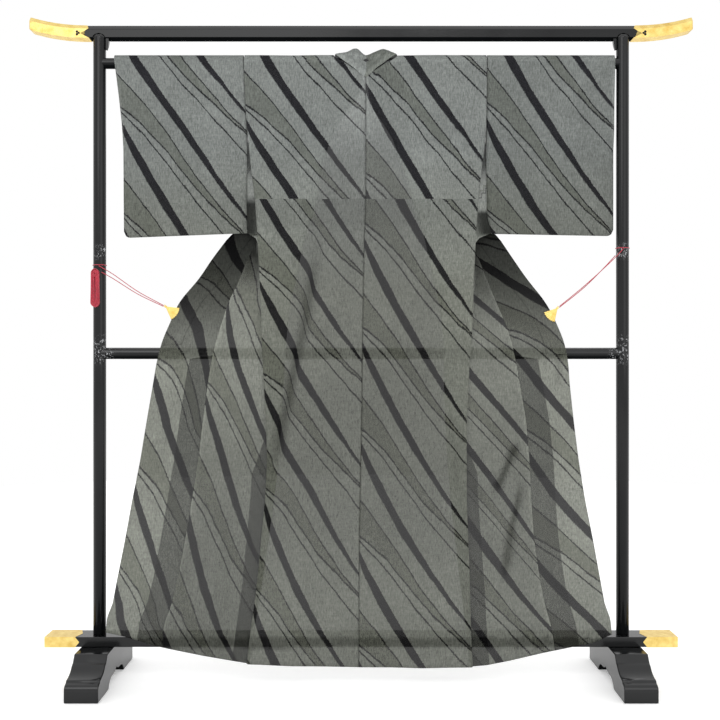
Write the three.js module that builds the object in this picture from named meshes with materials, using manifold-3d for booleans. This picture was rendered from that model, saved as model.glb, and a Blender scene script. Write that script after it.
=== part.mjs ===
// A woman's unlined summer kimono, hung open to be shown from the back, on its lacquered stand.
// Millimetres, +Z up. The floor is z = 0, the posts stand in the plane y = 0, and the back of the
// kimono faces -Y. The origin is on the floor, midway between the posts.
import * as THREE from 'three';
import Module from 'manifold-3d';
import { mergeVertices } from 'three/addons/utils/BufferGeometryUtils.js';

// Cloth and the gaps between sewn or resting pieces
const CLOTH = 1.2;
const BAND = 2.4;
const SEAM_GAP = 0.3;
const BAND_GAP = 1.3;

// Stand
const POST_X = 707;
const POST_R = 17;
const POST_FOOT = 124.3;
const POST_NECK = 1730;
const POST_TOP = 1752;
const ROD_R = 14.2;
const ROD_Z = 1666;
const MID_R = 15.5;
const MID_Z = 882;
const RAIL_SOCKET = 9;
const BASE_RAIL = { z0: 97.3, z1: 124, depth: 65, half: 764, capEnd: 854 };
const FOOT = { width: 87, length: 355, height: 97, x: 705 };
const TOP_BAR = { z0: 1733, half: 746, capEnd: 894, lift: 22, y0: -10, depth: 34 };
const BRACKET = { wide: 9, tall: 30, deep: 12 };

// Clips and cords
const CLIP = { radius: 39, spread: 0.52, jaw: 1.7, mouth: 3.9 };
const CORD_R = 1;
const ROUND = 16;

// Path of the cloth over the rod
const DRAPE_R = ROD_R + 0.4 + CLOTH / 2;
const ARC_STEPS = 8;

// How softly the fronts turn at their inner fold, and how far the layers lie apart there
const FOLD_SOFT = 4.5;

// A table row is one height. seam: side seam of back and front. edge: the free edge of the front,
// which the clip draws outwards. across: width of the front, okumi and collar, measured along the
// cloth. okumi and band: how far the okumi seam and the collar seam lie in from the free edge.
const FRONT_COLUMNS = ['z', 'seam', 'edge', 'across', 'okumi', 'band'];
const FRONT_LEFT = table(FRONT_COLUMNS, [
  [1640, -315, 3, 318, 67, 67],
  [1597, -313, 4, 317, 66, 66],
  [1551, -311, -27, 284, 66, 66],
  [1514, -309, -57, 252, 66, 66],
  [1470, -305, -81, 225, 66, 66],
  [1420, -300, -125, 236, 67, 66],
  [1378, -296, -168, 250, 70, 66],
  [1320, -288, -218, 274, 74, 66],
  [1264, -283, -268, 300, 78, 66],
  [1206, -279, -352, 335, 84, 64],
  [1133, -275, -406, 350, 96, 64],
  [1084, -273, -436, 362, 110, 62],
  [1020, -269, -490, 376, 133, 60],
  [977, -268, -508, 388, 137, 57],
  [915, -266, -535, 398, 145, 54],
  [856, -263, -550, 402, 147, 54],
  [810, -261, -557, 403, 147, 54],
  [703, -255, -575, 403, 151, 54],
  [595, -251, -592, 403, 156, 54],
  [488, -257, -613, 403, 160, 54],
  [380, -267, -632, 403, 161, 54],
  [272, -277, -653, 403, 162, 54],
  [133, -295, -678, 400, 152, 54],
  [45, -305, -681, 392, 150, 54],
]);
const FRONT_RIGHT = table(FRONT_COLUMNS, [
  [1640, 338, 21, 317, 67, 67],
  [1597, 338, 17, 321, 66, 66],
  [1551, 337, 29, 308, 66, 66],
  [1514, 337, 55, 282, 66, 66],
  [1470, 335, 84, 252, 66, 66],
  [1420, 330, 125, 250, 67, 66],
  [1378, 324, 166, 258, 70, 66],
  [1320, 317, 222, 280, 74, 66],
  [1264, 313, 285, 306, 78, 66],
  [1206, 309, 366, 338, 84, 64],
  [1133, 305, 414, 352, 94, 64],
  [1084, 303, 446, 362, 108, 62],
  [1020, 301, 496, 376, 133, 60],
  [977, 299, 519, 388, 137, 57],
  [915, 296, 545, 398, 141, 54],
  [856, 291, 557, 402, 141, 54],
  [810, 288, 559, 403, 135, 54],
  [703, 283, 570, 403, 128, 54],
  [595, 282, 583, 403, 132, 54],
  [488, 282, 600, 403, 145, 54],
  [380, 286, 621, 403, 158, 54],
  [272, 290, 640, 403, 162, 54],
  [133, 293, 665, 396, 158, 54],
  [45, 297, 669, 388, 152, 54],
]);

// Depths in y of the cloth layers. middle and side: the back panel at its centre seam and beside
// the side seams. front: the side edge of the front. inner, outer: the two runs of the front where
// it folds. free: the free edge.
const DEPTHS = table(['z', 'middle', 'side', 'front', 'inner', 'outer', 'free'], [
  [1665, -15, -15, 15, 15, 15, 15],
  [1597, -15.2, -15.2, 12.8, 15, 15, 18],
  [1470, -15.4, -15.4, 8.6, 11, 15, 18],
  [1420, -15.5, -15.7, 1.5, 4, 12, 15],
  [1378, -15.6, -16, -6, 0, 10, 12.5],
  [1320, -15.7, -16.6, -14.5, -5, 6, 10],
  [1264, -15.8, -17.4, -15.9, -7.5, 2.5, 8],
  [1206, -15.9, -18.2, -16.7, -9.5, 0, 6],
  [1133, -16, -19.4, -17.9, -12, -3.5, 1],
  [1084, -16.1, -20.6, -19.1, -14, -6, -5],
  [1020, -16.3, -22.8, -21.3, -17.6, -11.6, -13.9],
  [977, -16.5, -24, -22.5, -19.4, -13.6, -14.6],
  [915, -16.9, -25.4, -23.9, -21, -16.4, -16.6],
  [860, -17.3, -26.4, -24.9, -22.2, -17.2, -17.2],
  [700, -20.4, -29, -27.5, -25.4, -20.6, -20.4],
  [500, -24.8, -33, -31.5, -29.6, -25, -24.8],
  [300, -29.6, -37.4, -35.9, -34.2, -29.8, -29.6],
  [124, -34.2, -41.4, -39.9, -38.6, -34.4, -34.2],
  [45, -34.6, -41.8, -40.3, -39, -34.8, -34.6],
]);

// Height of the hem along x, from free edge to free edge
const HEM = table(['x', 'z'], [
  [-681, 137], [-630, 126], [-549, 101], [-424, 75], [-298, 54], [-179, 49],
  [0, 44], [161, 44], [292, 46], [336, 50], [394, 61], [487, 83], [618, 109], [669, 132],
]);

// Inner edge of the body beside the neck opening: angle over the rod (0 is the front, 180 the back)
// and how far it lies from the centre seam.
const NECK_EDGE = table(['angle', 'out'], [[0, 82], [45, 87], [90, 89], [135, 82], [180, 62]]);
const BACK_NECK = table(['z', 'out'], [[1640, SEAM_GAP / 2], [1652, 30], [1665, 62]]);
const CENTRE = table(['z', 'x'], [
  [45, -7], [400, -5], [757, 2], [918, 3], [1186, 8], [1293, 12], [1680, 12],
]);

// Sleeve edges by height. inner: beside the body. cuff: the wrist side.
const SLEEVE_LEFT = table(['z', 'inner', 'cuff'], [
  [1681, -317.5, -666], [1640, -316, -660], [1563, -312, -651], [1482, -307.5, -643],
  [1300, -306.8, -642], [1190, -306.8, -641],
]);
const SLEEVE_RIGHT = table(['z', 'inner', 'cuff'], [
  [1681, 340.6, 684], [1640, 339.8, 683], [1563, 339, 682], [1466, 337.4, 682],
  [1300, 337.4, 682], [1249, 339, 682], [1222, 345, 682], [1190, 359, 681],
]);
const SLEEVES = {
  left: { edges: SLEEVE_LEFT, innerFoot: 1207, cuffFoot: 1194, side: -1 },
  right: { edges: SLEEVE_RIGHT, innerFoot: 1205, cuffFoot: 1199, side: 1 },
};
const CUFF_OPENING = 230;
const CUFF_PINCH = 38;

// The collar round the neck, from the left front to the right front. seam: where it is sewn to the
// body. rise and lean: how far it stands up and bows out between its edges. free: its unsewn edge,
// which falls in front of the rod.
const NECK_BAND = table(
  ['seamX', 'seamY', 'seamZ', 'rise', 'lean', 'freeX', 'freeY', 'freeZ'],
  [
    [-67, 17.4, 1663, 16, 0, -6, 21, 1650],
    [-73, 13.4, 1680.5, 30, 0, -24, 22, 1664],
    [-75, 0, 1684.4, 40, 0, -32, 23, 1672],
    [-67.5, -12.5, 1679.5, 52, 4, -27, 23, 1668],
    [-47.5, -16.6, 1668, 70, 7, -16, 23, 1658],
    [-19, -16.6, 1655.5, 84, 7, -3, 23, 1648],
    [12, -16.6, 1643, 75, 7, 12, 23, 1640],
    [43, -16.6, 1655.5, 80, 7, 27, 23, 1648],
    [71.5, -16.6, 1668, 66, 7, 43, 23, 1658],
    [91.5, -12.5, 1679.5, 46, 4, 55, 23, 1668],
    [99, 0, 1684.4, 34, 0, 60, 23, 1672],
    [97, 13.4, 1680.5, 26, 0, 50, 22, 1664],
    [90.5, 17.4, 1663, 16, 0, 30, 21, 1650],
  ],
);
const BAND_STEPS = [0, 0.13, 0.3, 0.5, 0.7, 0.87, 1];
const COLLAR_END = { left: 905, right: 880 };
const OKUMI_TIP = 1300;

// Heights of the rows of cloth, from the hem up and from the shoulder down
const HEM_ROWS = [0, 0.35, 0.7, 1];
const HEM_TOP = 215;
const BACK_ROWS = [300, 400, 500, 600, 700, 790, 882, 970, 1060, 1150, 1240, 1297, 1380, 1470, 1560, 1640];
const FRONT_ROWS = [
  1630, 1597, 1551, 1514, 1470, 1445, 1420, 1395, 1378, 1362, 1345, 1320, 1292, 1264, 1235, 1206, 1170, 1133,
  1084, 1050, 1020, 977, 940, 905, 880, 856, 790, 703, 595, 488, 380, 290,
];
const BACK_COLUMNS = [0, 0.12, 0.26, 0.4, 0.54, 0.66, 0.78, 0.89, 1];
const PANEL_BEFORE_FOLD = [0, 0.45, 0.8, 1];
const PANEL_AFTER_FOLD = [0.03, 0.1, 0.32, 0.65, 1];

// Colours
const INK = new THREE.Color('#6f726c');
const LACQUER = new THREE.Color('#1c1f20');
const GOLD = new THREE.Color('#e6bf5a');
const CRIMSON = new THREE.Color('#c8203f');

function table(columns, rows) {
  return { columns, rows };
}

// Reads a column of a table at a place in its first column, along straight lines.
function read(source, column, at) {
  const k = source.columns.indexOf(column);
  const rows = source.rows[0][0] > source.rows[1][0] ? [...source.rows].reverse() : source.rows;
  if (at <= rows[0][0]) return rows[0][k];
  for (let i = 1; i < rows.length; i += 1) {
    if (at <= rows[i][0]) {
      const t = (at - rows[i - 1][0]) / (rows[i][0] - rows[i - 1][0]);
      return THREE.MathUtils.lerp(rows[i - 1][k], rows[i][k], t);
    }
  }
  return rows[rows.length - 1][k];
}

const lerp = THREE.MathUtils.lerp;
const smooth = THREE.MathUtils.smoothstep;
const point = (x, y, z) => new THREE.Vector3(x, y, z);

// Turns a closed skin inside out if its faces point in.
function facingOut(geometry) {
  const p = geometry.attributes.position;
  const index = geometry.index.array;
  const [a, b, c] = [new THREE.Vector3(), new THREE.Vector3(), new THREE.Vector3()];
  let volume = 0;
  for (let i = 0; i < index.length; i += 3) {
    a.fromBufferAttribute(p, index[i]);
    b.fromBufferAttribute(p, index[i + 1]);
    c.fromBufferAttribute(p, index[i + 2]);
    volume += a.dot(b.cross(c));
  }
  if (volume < 0) {
    for (let i = 0; i < index.length; i += 3) {
      [index[i + 1], index[i + 2]] = [index[i + 2], index[i + 1]];
    }
  }
  geometry.computeVertexNormals();
  return geometry;
}

function skin(points, faces) {
  const geometry = new THREE.BufferGeometry();
  geometry.setAttribute('position', new THREE.Float32BufferAttribute(points.flatMap((v) => v.toArray()), 3));
  geometry.setIndex(faces);
  return facingOut(geometry);
}

// A wall of cloth about a grid of middle points: the grid moved half a thickness to each side
// along its normals, with the four edges closed.
function clothWall(grid, thickness) {
  const rows = grid.length;
  const columns = grid[0].length;
  const across = new THREE.Vector3();
  const along = new THREE.Vector3();
  const points = [];
  for (const side of [0.5, -0.5]) {
    for (let r = 0; r < rows; r += 1) {
      for (let c = 0; c < columns; c += 1) {
        across.subVectors(grid[r][Math.min(c + 1, columns - 1)], grid[r][Math.max(c - 1, 0)]);
        along.subVectors(grid[Math.min(r + 1, rows - 1)][c], grid[Math.max(r - 1, 0)][c]);
        const normal = new THREE.Vector3().crossVectors(across, along).normalize();
        points.push(normal.multiplyScalar(side * thickness).add(grid[r][c]));
      }
    }
  }
  const faces = [];
  const half = rows * columns;
  const at = (r, c, under) => r * columns + c + (under ? half : 0);
  const quad = (a, b, c, d) => faces.push(a, b, c, a, c, d);
  for (let r = 0; r < rows - 1; r += 1) {
    for (let c = 0; c < columns - 1; c += 1) {
      quad(at(r, c), at(r, c + 1), at(r + 1, c + 1), at(r + 1, c));
      quad(at(r, c, 1), at(r + 1, c, 1), at(r + 1, c + 1, 1), at(r, c + 1, 1));
    }
    quad(at(r, 0, 1), at(r, 0), at(r + 1, 0), at(r + 1, 0, 1));
    quad(at(r, columns - 1), at(r, columns - 1, 1), at(r + 1, columns - 1, 1), at(r + 1, columns - 1));
  }
  for (let c = 0; c < columns - 1; c += 1) {
    quad(at(0, c), at(0, c, 1), at(0, c + 1, 1), at(0, c + 1));
    quad(at(rows - 1, c, 1), at(rows - 1, c), at(rows - 1, c + 1), at(rows - 1, c + 1, 1));
  }
  return skin(points, faces);
}

// A solid through closed sections with equal numbers of points.
function loft(sections) {
  const count = sections[0].length;
  const points = sections.flat();
  const faces = [];
  for (let s = 0; s < sections.length - 1; s += 1) {
    for (let i = 0; i < count; i += 1) {
      const [a, b] = [s * count + i, s * count + ((i + 1) % count)];
      faces.push(a, b, b + count, a, b + count, a + count);
    }
  }
  const last = (sections.length - 1) * count;
  for (let i = 1; i < count - 1; i += 1) {
    faces.push(0, i + 1, i, last, last + i, last + i + 1);
  }
  return skin(points, faces);
}

// The fronts at one height: where the cloth is, a distance s along it from the side seam. It runs
// inwards to its fold, turns softly, and runs out again to the free edge.
function frontAt(front, z) {
  const seam = read(front, 'seam', z);
  const edge = read(front, 'edge', z);
  const out = Math.sign(seam);
  const full = Math.max(read(front, 'across', z), Math.abs(edge - seam));
  const turn = (full - out * (edge - seam)) / 2;
  const depth = (column) => read(DEPTHS, column, z);
  const place = (s) => {
    const past = s - turn;
    const soft = turn < full - 1 ? FOLD_SOFT : 0.01;
    const spread = Math.hypot(past, soft);
    const x = seam - out * (turn - spread + soft * Math.exp(-Math.abs(past) / 25));
    const inner = lerp(depth('front'), depth('inner'), smooth(s, 0, Math.max(turn, 1)));
    const outer = lerp(depth('outer'), depth('free'), smooth(past, 0, Math.max(full - turn, 1)));
    const y = lerp(inner, outer, 0.5 + (0.5 * past) / spread);
    return [x, y];
  };
  const okumi = full - read(front, 'okumi', z);
  const band = full - read(front, 'band', z);
  return { full, turn, place, okumi, band };
}

// Half the gap at the collar's seam. It is wider about the fold, where the thick collar turns.
function bandGap(at) {
  return lerp(BAND_GAP, SEAM_GAP / 2, smooth(Math.abs(at.band - at.turn), 20, 60));
}

// Height of a row near the hem: a share of the way from the hem up to where the rows are level.
function hemRow(x, share) {
  return lerp(read(HEM, 'z', x), HEM_TOP, share);
}

function backPoint(front, z, u) {
  const seam = read(front, 'seam', z);
  const centre = read(CENTRE, 'x', z);
  const out = Math.sign(seam);
  const start = centre + out * (z > 1639 ? read(BACK_NECK, 'out', z) : SEAM_GAP / 2);
  const x = lerp(start, seam, u);
  const side = smooth(Math.abs(x - centre), 70, 190);
  const y = lerp(read(DEPTHS, 'middle', z), read(DEPTHS, 'side', z), side);
  return point(x, y, z);
}

// Columns of the front panel, closer together about its fold.
function panelColumns(at) {
  const end = at.okumi - SEAM_GAP / 2;
  const fold = Math.min(at.turn, end - 14);
  return [
    ...PANEL_BEFORE_FOLD.map((t) => t * fold),
    ...PANEL_AFTER_FOLD.map((t) => lerp(fold, end, t)),
  ];
}

// One length of cloth for each side of the body, from the back hem over the shoulder to the front hem.
function body(front) {
  const out = Math.sign(front.rows[0][1]);
  const rows = [];
  for (const share of HEM_ROWS) {
    const z = lerp(45, HEM_TOP, share);
    const row = BACK_COLUMNS.map((u) => backPoint(front, z, u));
    row.forEach((p) => p.setZ(hemRow(p.x, share)));
    rows.push(row);
  }
  for (const z of BACK_ROWS) rows.push(BACK_COLUMNS.map((u) => backPoint(front, z, u)));
  for (let i = 0; i <= ARC_STEPS; i += 1) {
    const angle = 180 - (180 * i) / ARC_STEPS;
    const rad = THREE.MathUtils.degToRad(angle);
    const start = 12 + out * read(NECK_EDGE, 'out', angle);
    const seam = read(front, 'seam', 1640) + out * 1.5;
    const [y, z] = [DRAPE_R * Math.cos(rad), ROD_Z + DRAPE_R * Math.sin(rad)];
    rows.push(BACK_COLUMNS.map((u) => point(lerp(start, seam, u), y, z)));
  }
  for (const z of FRONT_ROWS) {
    const at = frontAt(front, z);
    const row = panelColumns(at).map((s) => point(...at.place(s), z));
    rows.push(row.reverse());
  }
  for (const share of [...HEM_ROWS].reverse()) {
    const z = lerp(45, HEM_TOP, share);
    const at = frontAt(front, z);
    const row = panelColumns(at).map((s) => point(...at.place(s), z));
    row.forEach((p) => p.setZ(hemRow(p.x, share)));
    rows.push(row.reverse());
  }
  return clothWall(rows, CLOTH);
}

// The long gusset sewn between the front and the collar.
function okumi(front, collarEnd) {
  const rows = [];
  const heights = FRONT_ROWS.filter((z) => z < OKUMI_TIP);
  heights.splice(heights.indexOf(collarEnd) + 1, 0, collarEnd - 2 * SEAM_GAP);
  const strip = (z, share) => {
    const at = frontAt(front, z);
    const start = at.okumi + SEAM_GAP / 2;
    const end = z >= collarEnd ? at.band - bandGap(at) : at.full;
    return [0, 0.33, 0.67, 1].map((t) => {
      const [x, y] = at.place(lerp(start, end, t));
      return point(x, y, share === undefined ? z : hemRow(x, share));
    });
  };
  for (const z of heights) rows.push(strip(z));
  for (const share of [...HEM_ROWS].reverse()) rows.push(strip(lerp(45, HEM_TOP, share), share));
  return clothWall(rows, CLOTH);
}

// The collar, one band of doubled cloth from the end of one front round the neck to the other.
function collar() {
  const frontBand = (front, end) => FRONT_ROWS.filter((z) => z >= end).map((z) => {
    const at = frontAt(front, z);
    return BAND_STEPS.map((t) => point(...at.place(lerp(at.band + bandGap(at), at.full, t)), z));
  });
  const neck = NECK_BAND.rows.map(([seamX, seamY, seamZ, rise, lean, freeX, freeY, freeZ]) => {
    const seam = point(seamX, seamY, seamZ);
    const free = point(freeX, freeY, freeZ);
    const rear = point(seamX, seamY - lean, seamZ + rise);
    const fore = point(freeX, freeY + lean, freeZ + rise);
    const curve = new THREE.CubicBezierCurve3(seam, rear, fore, free);
    return BAND_STEPS.map((t) => curve.getPoint(t));
  });
  const rows = [
    ...frontBand(FRONT_LEFT, COLLAR_END.left).reverse(),
    ...neck,
    ...frontBand(FRONT_RIGHT, COLLAR_END.right),
  ];
  return clothWall(rows, BAND);
}

// A sleeve: a flat bag folded over the rod, open at the upper cuff and along its inner side, and
// sewn shut along the bottom and the lower part of the cuff, where its two layers meet.
function sleeve({ edges, innerFoot, cuffFoot, side }) {
  const columns = [0, 0.2, 0.4, 0.6, 0.8, 0.93, 1];
  const heights = [0, 0.04, 0.18, 0.36, 0.55, 0.72, 0.87, 1];
  const layer = (share, face) => columns.map((u) => {
    const foot = lerp(innerFoot, cuffFoot, u) + (u === 1 ? 7 : 0);
    const z = lerp(foot, ROD_Z, share);
    const x = lerp(read(edges, 'inner', z), read(edges, 'cuff', z), u);
    const fromCuff = Math.abs(read(edges, 'cuff', z) - x);
    const sewn = smooth(ROD_Z + DRAPE_R - CUFF_OPENING + 30 - z, 0, 60);
    const pinch = lerp(1, smooth(fromCuff, 0, CUFF_PINCH), sewn);
    const least = (CLOTH + SEAM_GAP) / 2;
    const y = least + (DRAPE_R - least) * share * pinch;
    return point(x, face * y, z);
  });
  const rows = heights.map((share) => layer(share, -1));
  for (let i = 1; i < ARC_STEPS; i += 1) {
    const rad = Math.PI - (Math.PI * i) / ARC_STEPS;
    const z = ROD_Z + DRAPE_R * Math.sin(rad);
    rows.push(columns.map((u) => {
      const x = lerp(read(edges, 'inner', z), read(edges, 'cuff', z), u);
      return point(x, DRAPE_R * Math.cos(rad), z);
    }));
  }
  rows.push(...[...heights].reverse().map((share) => layer(share, 1)));
  return side < 0 ? clothWall(rows.map((row) => row.reverse()), CLOTH) : clothWall(rows, CLOTH);
}

// Round bar along x between two ends.
function roundBar(radius, length) {
  const bar = new THREE.CylinderGeometry(radius, radius, length, ROUND);
  return bar.rotateZ(Math.PI / 2);
}

const wasm = await Module();
wasm.setup();

function toSolid(geometry) {
  const bare = geometry.clone();
  bare.deleteAttribute('normal');
  bare.deleteAttribute('uv');
  const merged = mergeVertices(bare, 1e-4);
  const vertProperties = new Float32Array(merged.attributes.position.array);
  const triVerts = new Uint32Array(merged.index.array);
  return new wasm.Manifold(new wasm.Mesh({ numProp: 3, vertProperties, triVerts }));
}

function fromSolid(solid) {
  const mesh = solid.getMesh();
  const geometry = new THREE.BufferGeometry();
  geometry.setAttribute('position', new THREE.Float32BufferAttribute(mesh.vertProperties, 3));
  geometry.setIndex(Array.from(mesh.triVerts));
  geometry.computeVertexNormals();
  return geometry;
}

function cut(geometry, ...tools) {
  return fromSolid(tools.reduce((solid, tool) => solid.subtract(toSolid(tool)), toSolid(geometry)));
}

// A turned post with a domed top. Its head is halved at the back to lap the top bar, and it is
// bored on its inner side for the rod and the middle rail.
function post(side) {
  const outline = [[0, POST_FOOT], [POST_R, POST_FOOT], [POST_R, POST_NECK + 8]];
  for (const [share, drop] of [[0.85, 7], [0.55, 2.5], [0, 0]]) {
    outline.push([POST_R * share, POST_TOP - drop]);
  }
  const turned = new THREE.LatheGeometry(outline.map(([r, z]) => new THREE.Vector2(r, z)), ROUND * 1.5);
  turned.rotateX(Math.PI / 2).translate(side * POST_X, 0, 0);
  const lap = new THREE.BoxGeometry(60, 60, 60);
  lap.translate(side * POST_X, TOP_BAR.y0 - SEAM_GAP + 30, TOP_BAR.z0 - SEAM_GAP + 30);
  const bores = [[ROD_R, ROD_Z], [MID_R, MID_Z]].map(([radius, z]) => {
    const bore = roundBar(radius + SEAM_GAP, 40);
    return bore.translate(side * (POST_X - POST_R + RAIL_SOCKET - 20 + SEAM_GAP), 0, z);
  });
  return cut(turned, lap, ...bores);
}

// Side outline of a foot: a falling front and back with two moulded steps, and an arch below.
function foot(side) {
  const half = FOOT.length / 2;
  const outline = new THREE.Shape();
  outline.moveTo(-half, 0);
  outline.lineTo(-half, 30);
  outline.quadraticCurveTo(-half, 44, -half + 16, 46);
  outline.lineTo(-half + 20, 52);
  outline.quadraticCurveTo(-half + 52, 56, -half + 66, 74);
  outline.lineTo(-half + 74, 78);
  outline.lineTo(-half + 88, FOOT.height);
  outline.lineTo(half - 88, FOOT.height);
  outline.lineTo(half - 74, 78);
  outline.lineTo(half - 66, 74);
  outline.quadraticCurveTo(half - 52, 56, half - 20, 52);
  outline.lineTo(half - 16, 46);
  outline.quadraticCurveTo(half, 44, half, 30);
  outline.lineTo(half, 0);
  outline.lineTo(78, 0);
  outline.quadraticCurveTo(66, 26, 34, 24);
  outline.quadraticCurveTo(14, 24, 0, 34);
  outline.quadraticCurveTo(-14, 24, -34, 24);
  outline.quadraticCurveTo(-66, 26, -78, 0);
  outline.closePath();
  const block = new THREE.ExtrudeGeometry(outline, {
    depth: FOOT.width, bevelEnabled: false, curveSegments: 5,
  });
  block.rotateX(Math.PI / 2).rotateZ(Math.PI / 2);
  return block.translate(side * FOOT.x - FOOT.width / 2, 0, 0);
}

function baseRail() {
  const { z0, z1, depth, half } = BASE_RAIL;
  const board = new THREE.BoxGeometry(half * 2, depth, z1 - z0);
  return board.translate(0, 0, (z0 + z1) / 2);
}

// Gilt end of the base rail, from the board's end to the tip, where its corners are taken off.
function baseCap(side) {
  const { z0, z1, depth, half, capEnd } = BASE_RAIL;
  const [a, b] = [half + SEAM_GAP, capEnd];
  const bevel = 3;
  const section = (x, inset) => [
    [-depth / 2 + inset, z0 + inset],
    [depth / 2 - inset, z0 + inset],
    [depth / 2 - inset, z1 - inset],
    [-depth / 2 + inset, z1 - inset],
  ].map(([y, z]) => point(side * x, y, z));
  return loft([section(a, 0), section(b - bevel, 0), section(b, bevel)]);
}

// Section of the top bar in y and z: an upright face below a low roof.
function barSection(x, lift, grow) {
  const { z0, y0, depth } = TOP_BAR;
  return [
    [y0 - grow, z0 - grow],
    [y0 + depth + grow, z0 - grow],
    [y0 + depth + grow, z0 + 23],
    [y0 + depth - 9, z0 + 35 + grow],
    [y0 + 9, z0 + 35 + grow],
    [y0 - grow, z0 + 23],
  ].map(([y, z]) => point(x, y, z + lift));
}

function topBar() {
  return loft([barSection(-TOP_BAR.half, 0, 0), barSection(TOP_BAR.half, 0, 0)]);
}

// Gilt end of the top bar, which sweeps up to its tip.
function topCap(side) {
  const { half, capEnd, lift } = TOP_BAR;
  const shares = [0, 0.25, 0.5, 0.7, 0.86, 1];
  const stations = shares.map((t) => {
    const x = side * lerp(half + SEAM_GAP, capEnd, t);
    return barSection(x, lift * t ** 2.2, 0.6);
  });
  return loft(stations);
}

// Small corbel under the top bar, on the inner side of a post.
function bracket(side) {
  const { wide, tall, deep } = BRACKET;
  const top = TOP_BAR.z0 - SEAM_GAP;
  const outline = new THREE.Shape();
  outline.moveTo(0, 0);
  outline.lineTo(wide, 0);
  outline.quadraticCurveTo(wide, -tall * 0.5, 3, -tall);
  outline.lineTo(0, -tall);
  outline.closePath();
  const block = new THREE.ExtrudeGeometry(outline, {
    depth: deep, bevelEnabled: false, curveSegments: 4,
  });
  block.rotateX(Math.PI / 2);
  if (side > 0) block.rotateZ(Math.PI);
  const y = side > 0 ? -deep / 2 : deep / 2;
  return block.translate(side * (POST_X - POST_R - SEAM_GAP), y, top);
}

// A fan-shaped clip: two jaws joined at the point of the fan, with the cloth between them.
function clip(place) {
  const { radius, spread, jaw, mouth } = CLIP;
  const outline = new THREE.Shape();
  outline.moveTo(-5, 3);
  outline.lineTo(-5, -3);
  outline.lineTo(radius * Math.cos(spread), -radius * Math.sin(spread));
  outline.absarc(0, 0, radius, -spread, spread, false);
  outline.closePath();
  const thick = jaw * 2 + mouth;
  const fan = new THREE.ExtrudeGeometry(outline, { depth: thick, bevelEnabled: false, curveSegments: 7 });
  fan.translate(0, 0, -thick / 2);
  const slot = new THREE.BoxGeometry(radius, radius * 2, mouth);
  slot.translate(radius / 2 + 9, 0, 0);
  const eye = new THREE.CylinderGeometry(1.6, 1.6, thick * 2, 8).rotateX(Math.PI / 2);
  const solid = cut(fan, slot, eye.translate(-1, 0, 0));
  solid.rotateZ(place.turn).rotateX(Math.PI / 2);
  return solid.translate(place.x, place.y, place.z);
}

// Where each clip grips: the point of its fan, and how the fan is turned in the plane of the cloth.
const CLIPS = {
  left: { x: -526, y: -14.1, z: 1008, turn: -0.5 },
  right: { x: 528, y: -14.1, z: 1004, turn: -2.62 },
};

// Cord through the given points.
function cord(points, steps) {
  const path = new THREE.CatmullRomCurve3(points, false, 'centripetal');
  const ring = new THREE.Shape();
  ring.absarc(0, 0, CORD_R, 0, Math.PI * 2, false);
  return new THREE.ExtrudeGeometry(ring, {
    extrudePath: path, steps, bevelEnabled: false, curveSegments: 8,
  });
}

// Two strands from each clip to its post, a wrap round the post, and the spare cord in a hank.
const CORDS = {
  cord_left_upper: [[-531.6, -14.1, 1011], [-600, -15, 1048], [-670, -18.5, 1097], [-704, -20, 1117]],
  cord_left_lower: [[-532, -14.1, 1008.3], [-600, -15, 1041], [-670, -18.5, 1085], [-697, -19.4, 1100]],
  cord_right_upper: [[533.6, -14.1, 1008.5], [600, -15, 1063], [680, -18.5, 1137], [704, -20, 1163]],
  cord_right_lower: [[533.4, -14.1, 1005.6], [600, -13, 1059], [660, -8, 1118], [688.5, 4, 1147]],
};

function wrap(x, z) {
  const ring = new THREE.TorusGeometry(POST_R + SEAM_GAP + CORD_R, CORD_R, 8, 20);
  return ring.translate(x, 0, z);
}

function hank() {
  const outline = new THREE.Shape();
  outline.absarc(0, 0, 10, 0, Math.PI, false);
  outline.absarc(0, -84, 11.5, Math.PI, Math.PI * 2, false);
  outline.closePath();
  const bundle = new THREE.ExtrudeGeometry(outline, { depth: 12, bevelEnabled: false, curveSegments: 6 });
  bundle.rotateX(Math.PI / 2);
  return bundle.translate(-713, -17.4, 1099);
}

const kimonoOnStand = new THREE.Group();

function add(name, geometry, color, roughness, metalness = 0) {
  const material = new THREE.MeshStandardMaterial({ color, roughness, metalness });
  const mesh = new THREE.Mesh(geometry, material);
  mesh.name = name;
  kimonoOnStand.add(mesh);
}

add('body_left', body(FRONT_LEFT), INK, 0.85);
add('body_right', body(FRONT_RIGHT), INK, 0.85);
add('sleeve_left', sleeve(SLEEVES.left), INK, 0.85);
add('sleeve_right', sleeve(SLEEVES.right), INK, 0.85);
add('okumi_left', okumi(FRONT_LEFT, COLLAR_END.left), INK, 0.85);
add('okumi_right', okumi(FRONT_RIGHT, COLLAR_END.right), INK, 0.85);
add('collar', collar(), INK, 0.85);

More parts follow.
